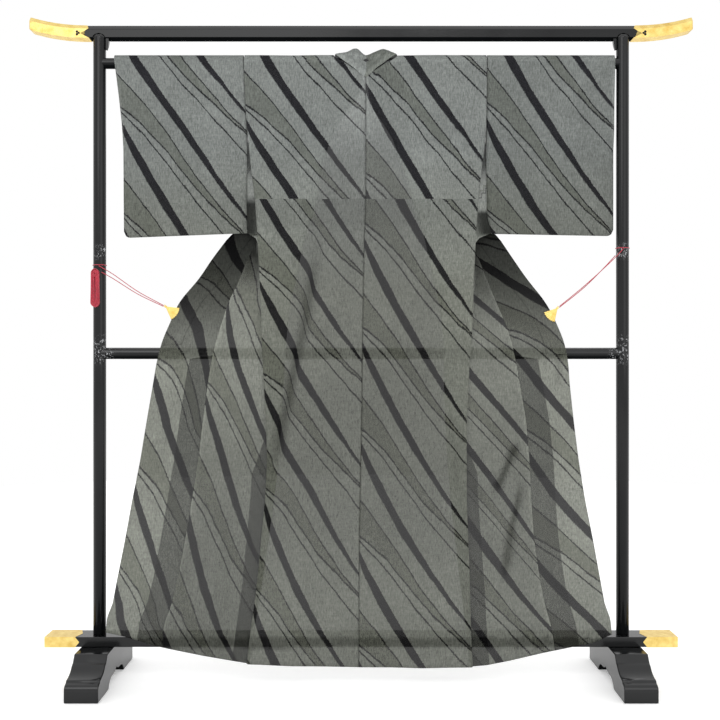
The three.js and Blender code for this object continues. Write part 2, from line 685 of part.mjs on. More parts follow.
for (const [name, side] of [['left', -1], ['right', 1]]) {
  add(`foot_${name}`, foot(side), LACQUER, 0.25);
  add(`post_${name}`, post(side), LACQUER, 0.22);
  add(`base_cap_${name}`, baseCap(side), GOLD, 0.3, 0.9);
  add(`top_cap_${name}`, topCap(side), GOLD, 0.3, 0.9);
  add(`bracket_${name}`, bracket(side), LACQUER, 0.25);
  add(`clip_${name}`, clip(CLIPS[name]), GOLD, 0.3, 0.9);
}
const RAIL_LENGTH = 2 * (POST_X - POST_R + RAIL_SOCKET);
add('base_rail', baseRail(), LACQUER, 0.22);
add('middle_rail', roundBar(MID_R, RAIL_LENGTH).translate(0, 0, MID_Z), LACQUER, 0.22);
add('kimono_rod', roundBar(ROD_R, RAIL_LENGTH).translate(0, 0, ROD_Z), LACQUER, 0.22);
add('top_bar', topBar(), LACQUER, 0.22);
for (const [name, points] of Object.entries(CORDS)) {
  add(name, cord(points.map((p) => point(...p)), 12), CRIMSON, 0.7);
}
add('cord_wrap_left', wrap(-POST_X, 1120), CRIMSON, 0.7);
add('cord_wrap_right', wrap(POST_X, 1166), CRIMSON, 0.7);
add('cord_hank', hank(), CRIMSON, 0.7);

export default kimonoOnStand;
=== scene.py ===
"""A woman's sheer summer kimono, hung open on its lacquered stand and seen from the back.

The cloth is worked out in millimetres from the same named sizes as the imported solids, as thin shells
on their form, with its creases, its doubled seams and its oblique wavering stripes.
"""

import math

import bmesh
import bpy
import numpy as np
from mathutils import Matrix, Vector


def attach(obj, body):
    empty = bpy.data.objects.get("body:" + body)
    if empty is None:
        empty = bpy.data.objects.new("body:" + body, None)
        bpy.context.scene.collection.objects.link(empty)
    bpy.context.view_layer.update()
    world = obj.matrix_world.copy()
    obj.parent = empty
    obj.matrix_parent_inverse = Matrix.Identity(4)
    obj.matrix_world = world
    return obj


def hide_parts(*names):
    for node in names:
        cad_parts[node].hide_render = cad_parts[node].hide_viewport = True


bl_info = {
    "name": "Summer Kimono on a Stand",
    "version": (1, 0, 0),
    "blender": (4, 5, 0),
    "location": "3D View > Sidebar > Kimono",
    "description": "Makes the cloth, the lacquered stand, its gilt fittings and a plain studio",
    "category": "Add Mesh",
}

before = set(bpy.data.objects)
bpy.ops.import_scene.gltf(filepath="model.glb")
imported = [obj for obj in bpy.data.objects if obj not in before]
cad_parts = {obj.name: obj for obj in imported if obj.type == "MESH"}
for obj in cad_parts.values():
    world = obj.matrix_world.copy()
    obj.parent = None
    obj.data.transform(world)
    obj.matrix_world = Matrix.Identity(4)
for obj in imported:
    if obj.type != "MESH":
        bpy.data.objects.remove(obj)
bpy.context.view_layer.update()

MM = 0.001

# Stand, in millimetres
POST_X = 707
POST_R = 17
POST_FOOT = 124.3
POST_TOP = 1745
LAP_Z = 1732.7
LAP_Y = -10.3
ROD_R = 14.2
ROD_Z = 1666
MID_R = 15.5
MID_Z = 882
RAIL_HALF = 699
TOP_BAR = {"z0": 1733, "half": 746, "tip": 894, "lift": 22, "y0": -10, "depth": 34}
BASE_RAIL = {"z0": 97.3, "z1": 124, "half": 764, "tip": 846.5, "depth": 65}
CLIPS = {"left": (-526, -14.1, 1008, -0.63), "right": (528, -14.1, 1004, -2.3)}
HANK = {"x": -713, "top": 1099, "foot": 1015, "y": -23.4}

# Cloth, in millimetres
SHOULDER_Z = 1640
HEM_FOOT = 45
HEM_ROWS = 15
ROW_STEP = 13
COLLAR_WALL = 1.8
SEAM_LAP = 0.3
DRAPE_R = 15.2
LIFT = 6.5
FOLD_SOFT = 4.5
HEM_TOP = 215
TUCK = (1226, 1297)
OKUMI_TIP = 1300
COLLAR_END = {"left": 905, "right": 880}
CUFF_OPENING = 230
CUFF_PINCH = 38
CORNER = 17
SLEEVE_LEAST = 0.75
REPEAT = 284
NO_STRIP = -50
COLUMNS = {"body": 66, "okumi": 26, "sleeve": 60, "collar": 11}

# Spare cord: how many loops lie side by side, how many layers of them, and the turns round them
HANK_LOOPS = 5
HANK_LAYERS = 3
HANK_TURNS = 3

# Camera, in metres
VIEW_FROM = (-0.003, -2.5, 0.864)
LENS = 46.21


def table(columns, rows):
    """Columns of a table as arrays, in rising order of the first column."""
    values = np.array(sorted(rows), float)
    return {name: values[:, i] for i, name in enumerate(columns)}


FRONT_COLUMNS = ("z", "seam", "edge", "across", "okumi", "band")
FRONT = {
    "left": table(FRONT_COLUMNS, [
        (1640, -315, 3, 318, 67, 67), (1597, -313, 4, 317, 66, 66), (1551, -311, -27, 284, 66, 66),
        (1514, -309, -57, 252, 66, 66), (1470, -305, -81, 225, 66, 66), (1420, -300, -125, 236, 67, 66),
        (1378, -296, -168, 250, 70, 66), (1320, -288, -218, 274, 74, 66), (1264, -283, -268, 300, 78, 66),
        (1206, -279, -352, 335, 84, 64), (1133, -275, -406, 350, 96, 64), (1084, -273, -436, 362, 110, 62),
        (1020, -269, -490, 376, 133, 60), (977, -268, -508, 388, 137, 57), (915, -266, -535, 398, 145, 54),
        (856, -263, -550, 402, 147, 54), (810, -261, -557, 403, 147, 54), (703, -255, -575, 403, 151, 54),
        (595, -251, -592, 403, 156, 54), (488, -257, -613, 403, 160, 54), (380, -267, -632, 403, 161, 54),
        (272, -277, -653, 403, 162, 54), (133, -295, -678, 400, 152, 54), (45, -305, -681, 392, 150, 54),
    ]),
    "right": table(FRONT_COLUMNS, [
        (1640, 338, 21, 317, 67, 67), (1597, 338, 17, 321, 66, 66), (1551, 337, 29, 308, 66, 66),
        (1514, 337, 55, 282, 66, 66), (1470, 335, 84, 252, 66, 66), (1420, 330, 125, 250, 67, 66),
        (1378, 324, 166, 258, 70, 66), (1320, 317, 222, 280, 74, 66), (1264, 313, 285, 306, 78, 66),
        (1206, 309, 366, 338, 84, 64), (1133, 305, 414, 352, 94, 64), (1084, 303, 446, 362, 108, 62),
        (1020, 301, 496, 376, 133, 60), (977, 299, 519, 388, 137, 57), (915, 296, 545, 398, 141, 54),
        (856, 291, 557, 402, 141, 54), (810, 288, 559, 403, 135, 54), (703, 283, 570, 403, 128, 54),
        (595, 282, 583, 403, 132, 54), (488, 282, 600, 403, 145, 54), (380, 286, 621, 403, 158, 54),
        (272, 290, 640, 403, 162, 54), (133, 293, 665, 396, 158, 54), (45, 297, 669, 388, 152, 54),
    ]),
}
DEPTHS = table(("z", "middle", "side", "front", "inner", "outer", "free"), [
    (1665, -15, -15, 15, 15, 15, 15), (1597, -15.2, -15.2, 12.8, 15, 15, 18),
    (1470, -15.4, -15.4, 8.6, 11, 15, 18), (1420, -15.5, -15.7, 1.5, 4, 12, 15),
    (1378, -15.6, -16, -6, 0, 10, 12.5), (1320, -15.7, -16.6, -14.5, -5, 6, 10),
    (1264, -15.8, -17.4, -15.9, -7.5, 2.5, 8), (1206, -15.9, -18.2, -16.7, -9.5, 0, 6),
    (1133, -16, -19.4, -17.9, -12, -3.5, 1), (1084, -16.1, -20.6, -19.1, -14, -6, -5),
    (1020, -16.3, -22.8, -21.3, -17.6, -11.6, -13.9), (977, -16.5, -24, -22.5, -19.4, -13.6, -14.6),
    (915, -16.9, -25.4, -23.9, -21, -16.4, -16.6), (860, -17.3, -26.4, -24.9, -22.2, -17.2, -17.2),
    (700, -20.4, -29, -27.5, -25.4, -20.6, -20.4), (500, -24.8, -33, -31.5, -29.6, -25, -24.8),
    (300, -29.6, -37.4, -35.9, -34.2, -29.8, -29.6), (124, -34.2, -41.4, -39.9, -38.6, -34.4, -34.2),
    (45, -34.6, -41.8, -40.3, -39, -34.8, -34.6),
])
HEM = table(("x", "z"), [
    (-681, 137), (-630, 126), (-549, 101), (-424, 75), (-298, 54), (-179, 49), (0, 44),
    (161, 44), (292, 46), (336, 50), (394, 61), (487, 83), (618, 109), (669, 132),
])
NECK_EDGE = table(("angle", "out"), [(0, 82), (45, 87), (90, 89), (135, 82), (180, 62)])
BACK_NECK = table(("z", "out"), [(1628, -0.4), (1648, 30), (1667, 60)])
CENTRE = table(("z", "x"), [(45, -7), (400, -5), (757, 2), (918, 3), (1186, 8), (1293, 12), (1680, 12)])
SLEEVES = {
    "left": {
        "edges": table(("z", "inner", "cuff"), [
            (1681, -317.5, -666), (1640, -316, -660), (1563, -312, -651), (1482, -307.5, -643),
            (1300, -306.8, -642), (1190, -306.8, -641)]),
        "inner_foot": 1207, "cuff_foot": 1194,
    },
    "right": {
        "edges": table(("z", "inner", "cuff"), [
            (1681, 340.6, 684), (1640, 339.8, 683), (1563, 339, 682), (1466, 337.4, 682),
            (1300, 337.4, 682), (1249, 339, 682), (1222, 345, 682), (1190, 359, 681)]),
        "inner_foot": 1205, "cuff_foot": 1199,
    },
}
NECK_BAND = np.array([
    # seam x, y, z, rise, lean, free x, y, z
    (-67, 17.4, 1663, 8, 0, -6, 21, 1650), (-70, 13.4, 1683, 8, 0, -24, 22, 1664),
    (-70, 0, 1690, 5, 0, -32, 23, 1674), (-63, -12.5, 1683, 18, 2, -27, 23, 1670),
    (-47, -16.6, 1669, 42, 4, -18, 23, 1658), (-18, -16.6, 1648.5, 78, 6, -7, 23, 1648),
    (12, -16.8, 1625.5, 75, 6, 11, 23, 1640), (40, -16.6, 1648.5, 66, 6, 34, 23, 1648),
    (66, -16.6, 1667, 55, 4, 50, 23, 1658), (86, -12.5, 1683, 24, 2, 62, 23, 1670),
    (96, 0, 1690, 5, 0, 66, 23, 1674), (97, 13.4, 1683, 8, 0, 50, 22, 1664),
    (90.5, 17.4, 1663, 8, 0, 30, 21, 1650),
], float)

# Middle of the long trough in the left back
TROUGH = table(("z", "x"), [
    (515, -255), (622, -224), (706, -207), (773, -192), (841, -179), (936, -156), (1045, -138),
    (1167, -115), (1250, -112),
])

# Where the broad stripe leaves the viewer's left edge of each panel, as heights, and how far it
# falls across the panel's whole width.
STRIPE_STARTS = {
    "back_left": [1357.7, 1078.6, 788.9, 485.7, 217.4, -61.6],
    "back_right": [1480, 1194, 915, 644, 354.2, 64.5],
    "shoulder_left": [1510.6],
    "shoulder_right": [1328.2],
    "sleeve_left": [1506.7],
    "sleeve_right": [1518],
    "front_left": [1296.5, 1022.5, 770, 488, 211, -65.7],
    "front_right": [1326, 1040, 812, 592, 258, -12],
    "okumi_left": [1285, 1073, 842, 542, 283, -23],
    "okumi_right": [1174, 928, 650, 364, 88],
}
FALL = {"back": 492, "shoulder": 492, "sleeve": 541, "front": 492, "okumi": 492}
# Share of the woven width that a front shows, as heights and shares
WOVEN_SHARE = {"left": ([250, 650], [0.88, 1.0]), "right": ([200, 900], [0.88, 0.68])}
# Shares of the stripe's width between the two edges of each okumi, and how far its stripes fall
# across as the wing leans, as heights and parts of the full fall
OKUMI_SHARE = {"left": (0.02, 0.62), "right": (0.05, 0.44)}
OKUMI_LEAN = {"left": ([680, 960], [1, 0.5]), "right": ([800, 980], [1, 0.58])}

# Tones, all painted light and shade, as heights and values: the wing, in painted shade where many
# layers lie together under the sleeve and fewer further down, the far layer of each front, in painted
# shade, the shoulder and the back where it is one layer, lighter or darker with height as painted
# light, and the back where a second layer lies hidden behind it, painted lighter
WING_TONE = ([100, 300, 862, 870, 950, 1025, 1105, 1200, 1300],
             [0.66, 0.86, 0.84, 0.58, 0.42, 0.26, 0.14, 0.07, 0.06])
FAR_TONE = {
    "left": ([350, 650, 880, 1035, 1085, 1150], [0.46, 0.6, 0.78, 0.74, 0.36, 0.08]),
    "right": ([200, 350, 560, 880, 940, 1050, 1150], [0.56, 0.5, 0.54, 0.64, 0.64, 0.3, 0.08]),
}
SHOULDER_SINGLE = ([1300, 1420, 1540], [0.58, 0.64, 0.92])
BACK_SINGLE = ([100, 200, 420, 700, 1000], [0.56, 0.6, 0.46, 0.47, 0.53])
BACK_DOUBLE = ([600, 1250], [0.58, 0.82])

# Top of the painted shadow in the gap under each arm, and the width of the allowance at each side seam
GAP_TOP = {"left": 1290, "right": 1258}
ALLOWANCE = {
    "left": ([45, 560, 640, 700], [40, 40, 12, -20]),
    "right": ([45, 560, 640, 700], [46, 30, 0, -20]),
}
OKUMI_ALLOWANCE = ([45, 560, 872, 880], [66, 66, 60, -20])

# Soft creases: a line of points (x, z), how wide it is, how deep it goes in y (plus is away from the
# viewer's side) and how much painted shade lies in it, where less than none is a painted highlight.
CREASES = {
    "back_left": [
        ([(-112, 1190), (-115, 1167), (-138, 1045), (-156, 936), (-179, 841), (-192, 773), (-207, 706),
          (-224, 622), (-255, 515)], 16, 6, 0.42),
        ([(-96, 1200), (-112, 1045), (-128, 936), (-150, 836), (-170, 730)], 22, -4, -0.05),
        ([(-97, 1508), (-150, 1450), (-217, 1387)], 24, 3, 0.07),
        ([(-190, 1330), (-215, 1250), (-228, 1130)], 20, 2.2, 0.05),
        ([(-60, 420), (-75, 240), (-84, 90)], 30, 3, 0.03),
        ([(-170, 380), (-185, 220), (-190, 80)], 26, -3, -0.03),
    ],
    "back_right": [
        ([(95, 1120), (104, 960), (112, 800), (108, 640)], 26, 2.6, 0.03),
        ([(205, 1180), (212, 1020), (206, 880), (216, 700)], 20, -2.6, -0.03),
        ([(236, 760), (246, 620), (262, 500)], 14, 2.4, 0.08),
        ([(60, 460), (72, 280), (75, 90)], 30, 3, 0.03),
        ([(190, 420), (206, 240), (214, 90)], 24, -2.6, -0.03),
        ([(150, 1600), (190, 1500), (230, 1420)], 26, 2.4, 0.04),
    ],
    "front_left": [
        ([(-340, 700), (-352, 500), (-372, 260), (-380, 110)], 22, 3, 0.06),
        ([(-300, 900), (-330, 760), (-345, 620)], 18, -2.5, -0.05),
        ([(-430, 420), (-446, 240), (-452, 110)], 18, -2.5, -0.04),
        ([(-150, 1560), (-190, 1460), (-215, 1380)], 22, -3, 0.05),
    ],
    "front_right": [
        ([(424, 650), (400, 600), (375, 545), (351, 499)], 13, 5, 0.62),
        ([(432, 560), (420, 480), (405, 422), (390, 330), (379, 250)], 13, 5, 0.46),
        ([(395, 620), (370, 540), (345, 470)], 12, -3, -0.06),
        ([(300, 560), (318, 480), (326, 400)], 12, 3, 0.1),
        ([(350, 300), (356, 180), (360, 90)], 20, -3, -0.05),
        ([(190, 1560), (222, 1460), (242, 1380)], 22, -3, 0.05),
    ],
    "okumi_left": [
        ([(-500, 850), (-520, 640), (-560, 400), (-585, 200)], 16, 2.4, 0.05),
        ([(-515, 990), (-490, 940), (-470, 870)], 16, -2.4, 0.06),
    ],
    "okumi_right": [
        ([(530, 980), (534, 900), (530, 840), (524, 770)], 9, 3.4, 0.2),
        ([(500, 700), (530, 480), (560, 240)], 16, 2.4, 0.05),
    ],
    "sleeve_left": [
        ([(-600, 1640), (-520, 1500), (-470, 1360), (-450, 1230)], 34, 3, 0.04),
        ([(-430, 1650), (-400, 1500), (-392, 1330)], 26, -3, -0.03),
        ([(-560, 1300), (-540, 1230)], 28, -2.4, -0.03),
        ([(-610, 1480), (-560, 1440)], 20, 2, 0.05),
    ],
    "sleeve_right": [
        ([(655, 1660), (622, 1590), (600, 1500)], 22, 3, 0.06),
        ([(600, 1662), (560, 1560), (540, 1440)], 30, -3, -0.04),
        ([(420, 1640), (440, 1480), (450, 1320), (455, 1230)], 30, 2.6, 0.03),
        ([(400, 1300), (520, 1292), (660, 1290)], 9, -0.8, -0.03),
    ],
}


def lerp(a, b, t):
    return a + (b - a) * t


def smooth(x, low, high):
    """Rises softly from 0 at low to 1 at high."""
    t = np.clip((x - low) / (high - low), 0, 1)
    return t * t * (3 - 2 * t)


def read(source, name, at, soften=18):
    """A column of a table at places in its first column, with its corners rounded off by the mean
    of five readings a little before and behind each place."""
    key = next(iter(source))
    reach = np.array([-1, -0.5, 0, 0.5, 1]) * soften
    at = np.asarray(at, float)
    return np.mean([np.interp(at + r, source[key], source[name]) for r in reach], axis=0)


# ---- Cloth as surfaces of two parameters ----


def front_line(side, z):
    """Sizes of one front at heights z: seam, free edge, width and the place of its inner fold."""
    front = FRONT[side]
    out = -1 if side == "left" else 1
    seam = read(front, "seam", z)
    edge = read(front, "edge", z)
    full = np.maximum(read(front, "across", z), np.abs(edge - seam))
    turn = (full - out * (edge - seam)) / 2
    okumi = full - read(front, "okumi", z)
    band = full - read(front, "band", z)
    return {"out": out, "seam": seam, "full": full, "turn": turn, "okumi": okumi, "band": band}


def front_place(line, z, s):
    """Where a front lies a distance s along the cloth from its side seam: it runs inwards to its
    fold, turns softly, and runs out again to the free edge."""
    past = s - line["turn"]
    soft = np.where(line["turn"] < line["full"] - 1, FOLD_SOFT, 0.01)
    spread = np.hypot(past, soft)
    x = line["seam"] - line["out"] * (line["turn"] - spread + soft * np.exp(-np.abs(past) / 25))
    inner = lerp(read(DEPTHS, "front", z), read(DEPTHS, "inner", z),
                 smooth(s, 0, np.maximum(line["turn"], 1)))
    outer = lerp(read(DEPTHS, "outer", z), read(DEPTHS, "free", z),
                 smooth(past, 0, np.maximum(line["full"] - line["turn"], 1)))
    return x, lerp(inner, outer, 0.5 + 0.5 * past / spread)


def front_rows(side, top):
    """Heights of the rows of a front, from the top down, and each row's share of the hem's rise. Two
    of them lie close about the height where the collar stops."""
    stop = COLLAR_END[side]
    level = np.linspace(top, HEM_TOP, int((top - HEM_TOP) / ROW_STEP))
    level = np.sort(np.concatenate([level, [stop - 0.2, stop + 0.2]]))[::-1]
    shares = np.linspace(1, 0, HEM_ROWS)[1:]
    heights = np.concatenate([level, lerp(HEM_FOOT, HEM_TOP, shares)])
    return heights[:, None], np.concatenate([np.ones(len(level)), shares])[:, None]


def hem_height(x, z, share):
    """Rows under the level ones close up evenly on the curved hem."""
    return np.where(share < 1, lerp(np.interp(x, HEM["x"], HEM["z"]), HEM_TOP, share), z)


def crease(lines, x, z):
    """Depth and shade of soft creases: for each line of points, a bell across the distance to the
    line, faded towards its ends, and made uneven by a slow wave along it."""
    depth = np.zeros(x.shape)
    shade = np.zeros(x.shape)
    for number, (points, width, deep, dark) in enumerate(lines):
        points = np.array(points, float)
        legs = np.hypot(*np.diff(points, axis=0).T)
        ran = np.concatenate([[0], np.cumsum(legs)])
        nearest = np.full(x.shape, 1e9)
        along = np.zeros(x.shape)
        for (a, b, leg, before) in zip(points[:-1], points[1:], legs, ran[:-1]):
            t = np.clip(((x - a[0]) * (b[0] - a[0]) + (z - a[1]) * (b[1] - a[1])) / leg ** 2, 0, 1)
            gap = np.hypot(x - lerp(a[0], b[0], t), z - lerp(a[1], b[1], t))
            closer = gap < nearest
            nearest = np.where(closer, gap, nearest)
            along = np.where(closer, (before + t * leg) / ran[-1], along)
        wave = 1 + 0.22 * np.sin(along * 9 + number * 1.7)
        bell = np.exp(-((nearest / (width * wave)) ** 2))
        bell *= smooth(along, -0.02, 0.22) * (1 - smooth(along, 0.75, 1.02))
        depth += deep * bell
        shade += dark * bell
    return depth, shade


def fall(share):
    """How far a stripe has fallen at a share of the panel's width: a little faster at first."""
    return 1.15 * share - 0.15 * share ** 2


def stripe_phase(panel, z, share):
    """Repeats of the stripe below its start, at height z and a share of the panel's width from the
    viewer's left edge."""
    starts = np.array(sorted(STRIPE_STARTS[panel]))
    starts = np.concatenate([starts[0] - REPEAT * np.arange(9, 0, -1), starts,
                             starts[-1] + REPEAT * np.arange(1, 10)])
    counts = np.arange(len(starts), 0, -1.0)
    return np.interp(z + FALL[panel.split("_")[0]] * fall(share), starts, counts)


def ripple(x, z, height, seed):
    """Slow uneven waves of cloth: a sum of three sines in x and z of unlike lengths."""
    return height * (
        0.5 * np.sin(x / 47 + z / 190 + seed) + 0.3 * np.sin(x / 23 - z / 140 + 2.1 * seed)
        + 0.2 * np.sin(x / 91 + z / 67 + 3.7 * seed)
    )


def pack_grid(x, y, z, u, v, tone, strip):
    shape = np.broadcast(x, y, z).shape
    cast = [np.broadcast_to(a, shape) for a in (x, y, z, u, v, tone, strip)]
    return np.stack(cast, axis=-1)


def behind(z):
    """Tone where a rail of the stand stands close behind the cloth and keeps the light from it."""
    middle = smooth(MID_R + 2 - np.abs(z - MID_Z), 0, 3)
    base = smooth(15 - np.abs(z - 110), 0, 3)
    return 1 - 0.12 * middle - 0.42 * base


def back_grid(side, columns):
    """The back from the hem to the shoulder: x runs from the centre seam to the side seam, y goes
    from the middle depth to the side depth, and creases stand out from it. In the left back the
    stripe shifts a little on passing the trough."""
    out = -1 if side == "left" else 1
    shares = np.linspace(0, 1, HEM_ROWS)[:-1]
    level = np.concatenate([np.arange(HEM_TOP, TUCK[1], ROW_STEP), [TUCK[1] - 0.4, TUCK[1]],
                            np.arange(TUCK[1] + 12, 1622, 12),
                            [1628, 1634, 1641, 1648, 1654, 1660, 1664]])
    z = np.concatenate([lerp(HEM_FOOT, HEM_TOP, shares), level])[:, None]
    share = np.concatenate([shares, np.ones(len(level))])[:, None]
    u = np.linspace(0, 1, columns)[None, :]
    line = front_line(side, z)
    centre = read(CENTRE, "x", z)
    seam = line["seam"]
    start = centre + out * np.interp(z, BACK_NECK["z"], BACK_NECK["out"])
    x = lerp(start, seam, u)
    woven = (x - centre) / (seam - centre)
    y = lerp(read(DEPTHS, "middle", z), read(DEPTHS, "side", z), smooth(np.abs(x - centre), 70, 190))
    z = hem_height(x, z + 0 * x, share)
    depth, shade = crease(CREASES["back_" + side], x, z)
    edge = smooth(u, 0, 0.1) * smooth(1 - u, 0, 0.16) * smooth(1690 - z, 0, 60)
    covered = smooth(line["turn"] - np.abs(x - line["seam"]), -2, 2)
    y = y + (depth * lerp(1, 0.2, covered) + ripple(x, z, 1.4, 1.0 + (side == "right"))) * edge
    y = y + (side == "right") * 0.9 * np.exp(-np.abs(x - centre) / 6)
    across = 1 - woven if side == "left" else woven
    above = z >= TUCK[1]
    v = np.where(above, stripe_phase("shoulder_" + side, z, across),
                 stripe_phase("back_" + side, z, across))
    if side == "left":
        past = smooth(x - np.interp(z, TROUGH["z"], TROUGH["x"]), -18, 18)
        v = v - 0.15 * (past - across) * smooth(z, 480, 640) * smooth(-z, -1240, -1100)
    # Painted light and shade: the back changes with height, is painted lighter where the front's run lies
    # hidden behind it, and is darker in its creases, at the rails behind it and along the doubled tuck.
    single = np.where(above, np.interp(z, *SHOULDER_SINGLE), np.interp(z, *BACK_SINGLE))
    double = np.where(above, 0.86, np.interp(z, *BACK_DOUBLE))
    tone = (1 - shade) * lerp(single, double, covered) * behind(z)
    tone = tone * lerp(1, 0.9, (z < TUCK[1]) * smooth(z, TUCK[0] - 4, TUCK[0] + 4))
    tone = tone * lerp(1, 0.6, smooth(0.012 - u, 0, 0.012))
    return pack_grid(x, y, z, across, v, tone, NO_STRIP)


def shoulder_grid(side, columns):
    """Half a turn of cloth over the rod, from the back to the front."""
    out = -1 if side == "left" else 1
    angle = np.linspace(172, 8, 15)[:, None]
    rad = np.radians(angle)
    u = np.linspace(0, 1, columns)[None, :]
    start = 12 + out * np.interp(angle, NECK_EDGE["angle"], NECK_EDGE["out"])
    seam = read(FRONT[side], "seam", SHOULDER_Z)
    x = lerp(start, seam, u)
    woven = (x - 12) / (seam - 12)
    y = DRAPE_R * np.cos(rad) + 0 * x
    z = ROD_Z + DRAPE_R * np.sin(rad) + LIFT * np.sin(rad) ** 2 + ripple(x, 0 * x, 0.8, 3.0)
    across = 1 - woven if side == "left" else woven
    ran = 1666 + np.radians(180 - angle) * DRAPE_R
    v = stripe_phase("shoulder_" + side, ran, across)
    return pack_grid(x, y, z, across, v, 1.0, NO_STRIP)


def panel_share(side, line, z, s):
    """Share of the woven width at height z and a distance s along the front."""
    along = s / line["okumi"] * np.interp(z, *WOVEN_SHARE[side])
    return 1 - along if side == "left" else along


def front_grid(side, columns):
    """The front from the shoulder to the hem, in cloth lengths s from its okumi seam back to its
    side seam, closer together about the fold. Beside the sleeve its side runs loose to the sleeve's
    edge, by an exponential of s."""
    z, share = front_rows(side, SHOULDER_Z)
    line = front_line(side, z)
    end = line["okumi"] + SEAM_LAP
    t = np.linspace(0, 1, columns)[None, :]
    fold = np.minimum(line["turn"], end - 14) / end
    even = 1 - t
    s = end * lerp(even, fold + (even - fold) ** 3 / np.maximum(fold, 1 - fold) ** 2, 0.45)
    s[:, :1] = end
    s[:, -1:] = 0
    x, y = front_place(line, z, s)
    loose = smooth(z, 1185, 1208) * smooth(-z, -1500, -1440) * np.exp(-s / 22)
    x = x + (read(SLEEVES[side]["edges"], "inner", z) - line["seam"]) * loose
    z = hem_height(x, z + 0 * x, share)
    depth, shade = crease(CREASES["front_" + side], x, z)
    outer = smooth(s - line["turn"], 20, 60) * smooth(end - s, 0, 26)
    y = y + (depth * 0.8 + ripple(x, z, 1.2, 4.0 + (side == "right"))) * outer
    u = panel_share(side, line, z, s)
    v = stripe_phase("front_" + side, z, u)
    # Painted light and shade: the front's outer run past the side seam lies in painted shade, a painted
    # highlight runs along the ridge of the okumi seam, and in the gap under the arm painted shade lies below
    # its top and in a slit higher up, with a lighter band between.
    beyond = s - 2 * line["turn"]
    far = np.interp(z, *FAR_TONE[side])
    tone = (1 - shade) * behind(z) * lerp(1, far, smooth(beyond, -4, 4) * (z < OKUMI_TIP))
    tone = tone * (1 + 0.5 * np.exp(-(((end - s) / 5) ** 2)) * (z < 1150))
    gap = GAP_TOP[side]
    dim = np.interp(z, [gap, gap + 14, 1350, 1385, 1440, 1490], [0.1, 0.8, 0.8, 0.25, 0.4, 1])
    tone = tone * lerp(1, dim, smooth(loose, 0.3, 0.6))
    u, v = np.where(loose > 0.4, 0.15, u), np.where(loose > 0.4, np.floor(v) + 0.3, v)
    strip = np.where(s > line["turn"], np.interp(z, *ALLOWANCE[side]) - np.abs(beyond), NO_STRIP)
    return pack_grid(x, y, z, u, v, tone, strip)


def okumi_grid(side, columns):
    """The gusset between a front and the collar, in cloth lengths from its seam to its free edge.
    The turned-in seams lie behind it as a doubled strip along the seam."""
    z, share = front_rows(side, OKUMI_TIP - 8)
    line = front_line(side, z)
    start = line["okumi"]
    end = np.where(z >= COLLAR_END[side], line["band"] + SEAM_LAP, line["full"])
    t = np.linspace(0, 1, columns)[None, :]
    s = lerp(start, end, t)
    x, y = front_place(line, z, s)
    z = hem_height(x, z + 0 * x, share)
    depth, shade = crease(CREASES["okumi_" + side], x, z)
    free = smooth(t, 0, 0.2) * smooth(1 - t, 0, 0.2)
    y = y + (depth + ripple(x, z, 0.8, 7.0)) * free * smooth(1010 - z, 0, 60)
    u, v = okumi_stripe(side, line, z, s)
    # Painted shade: deep under the sleeve and less further down, and darker in its creases and at the rails
    # behind it.
    tone = (1 - shade) * np.interp(z, *WING_TONE) * behind(z)
    strip = np.interp(z, *OKUMI_ALLOWANCE) - (s - start)
    return pack_grid(x, y, z, u, v, tone, strip)


def okumi_stripe(side, line, z, s):
    """Share and repeats of the stripe across the okumi, carried on over the collar beside it. Towards
    the clips and above them, where the wings lean, the stripes turn with them and fall less across."""
    low, high = OKUMI_SHARE[side]
    width = np.maximum(line["full"] - line["okumi"], 140)
    along = (s - line["okumi"]) / width
    share = lerp(high, low, along) if side == "left" else lerp(low, high, along)
    less = FALL["okumi"] * (1 - np.interp(z, *OKUMI_LEAN[side]))
    return share, stripe_phase("okumi_" + side, z - less * (fall(share) - fall(low)), share)


def bend(points, count):
    """Carries rows of points along a smooth curve through them, with count rows to each gap: a
    Catmull-Rom curve, which leaves each row along the line between its two neighbours."""
    rows = []
    padded = np.concatenate([points[:1], points, points[-1:]])
    for i in range(1, len(padded) - 2):
        a, b, c, d = padded[i - 1:i + 3]
        t = np.linspace(0, 1, count, endpoint=False)[:, None, None]
        rows.append(0.5 * (2 * b + (c - a) * t + (2 * a - 5 * b + 4 * c - d) * t ** 2
                           + (3 * b - a - 3 * c + d) * t ** 3))
    rows.append(points[-1:])
    return np.concatenate(rows)


def collar_front(side, columns):
    """The part of the collar on one front, from the shoulder down to the collar's end."""
    z = np.linspace(SHOULDER_Z, COLLAR_END[side], 58)[:, None]
    line = front_line(side, z)
    s = lerp(line["band"], line["full"], np.linspace(0, 1, columns)[None, :])
    x, y = front_place(line, z, s)
    z = z + 0 * x
    u, v = okumi_stripe(side, line, z, s)
    # Painted shade: the wing's tone below the okumi's tip, and above it painted shade that lightens upwards.
    tone = np.where(z < OKUMI_TIP, np.interp(z, *WING_TONE), np.interp(z, [1300, 1500], [0.3, 0.9]))
    return pack_grid(x, y, z, u, v, tone, NO_STRIP)


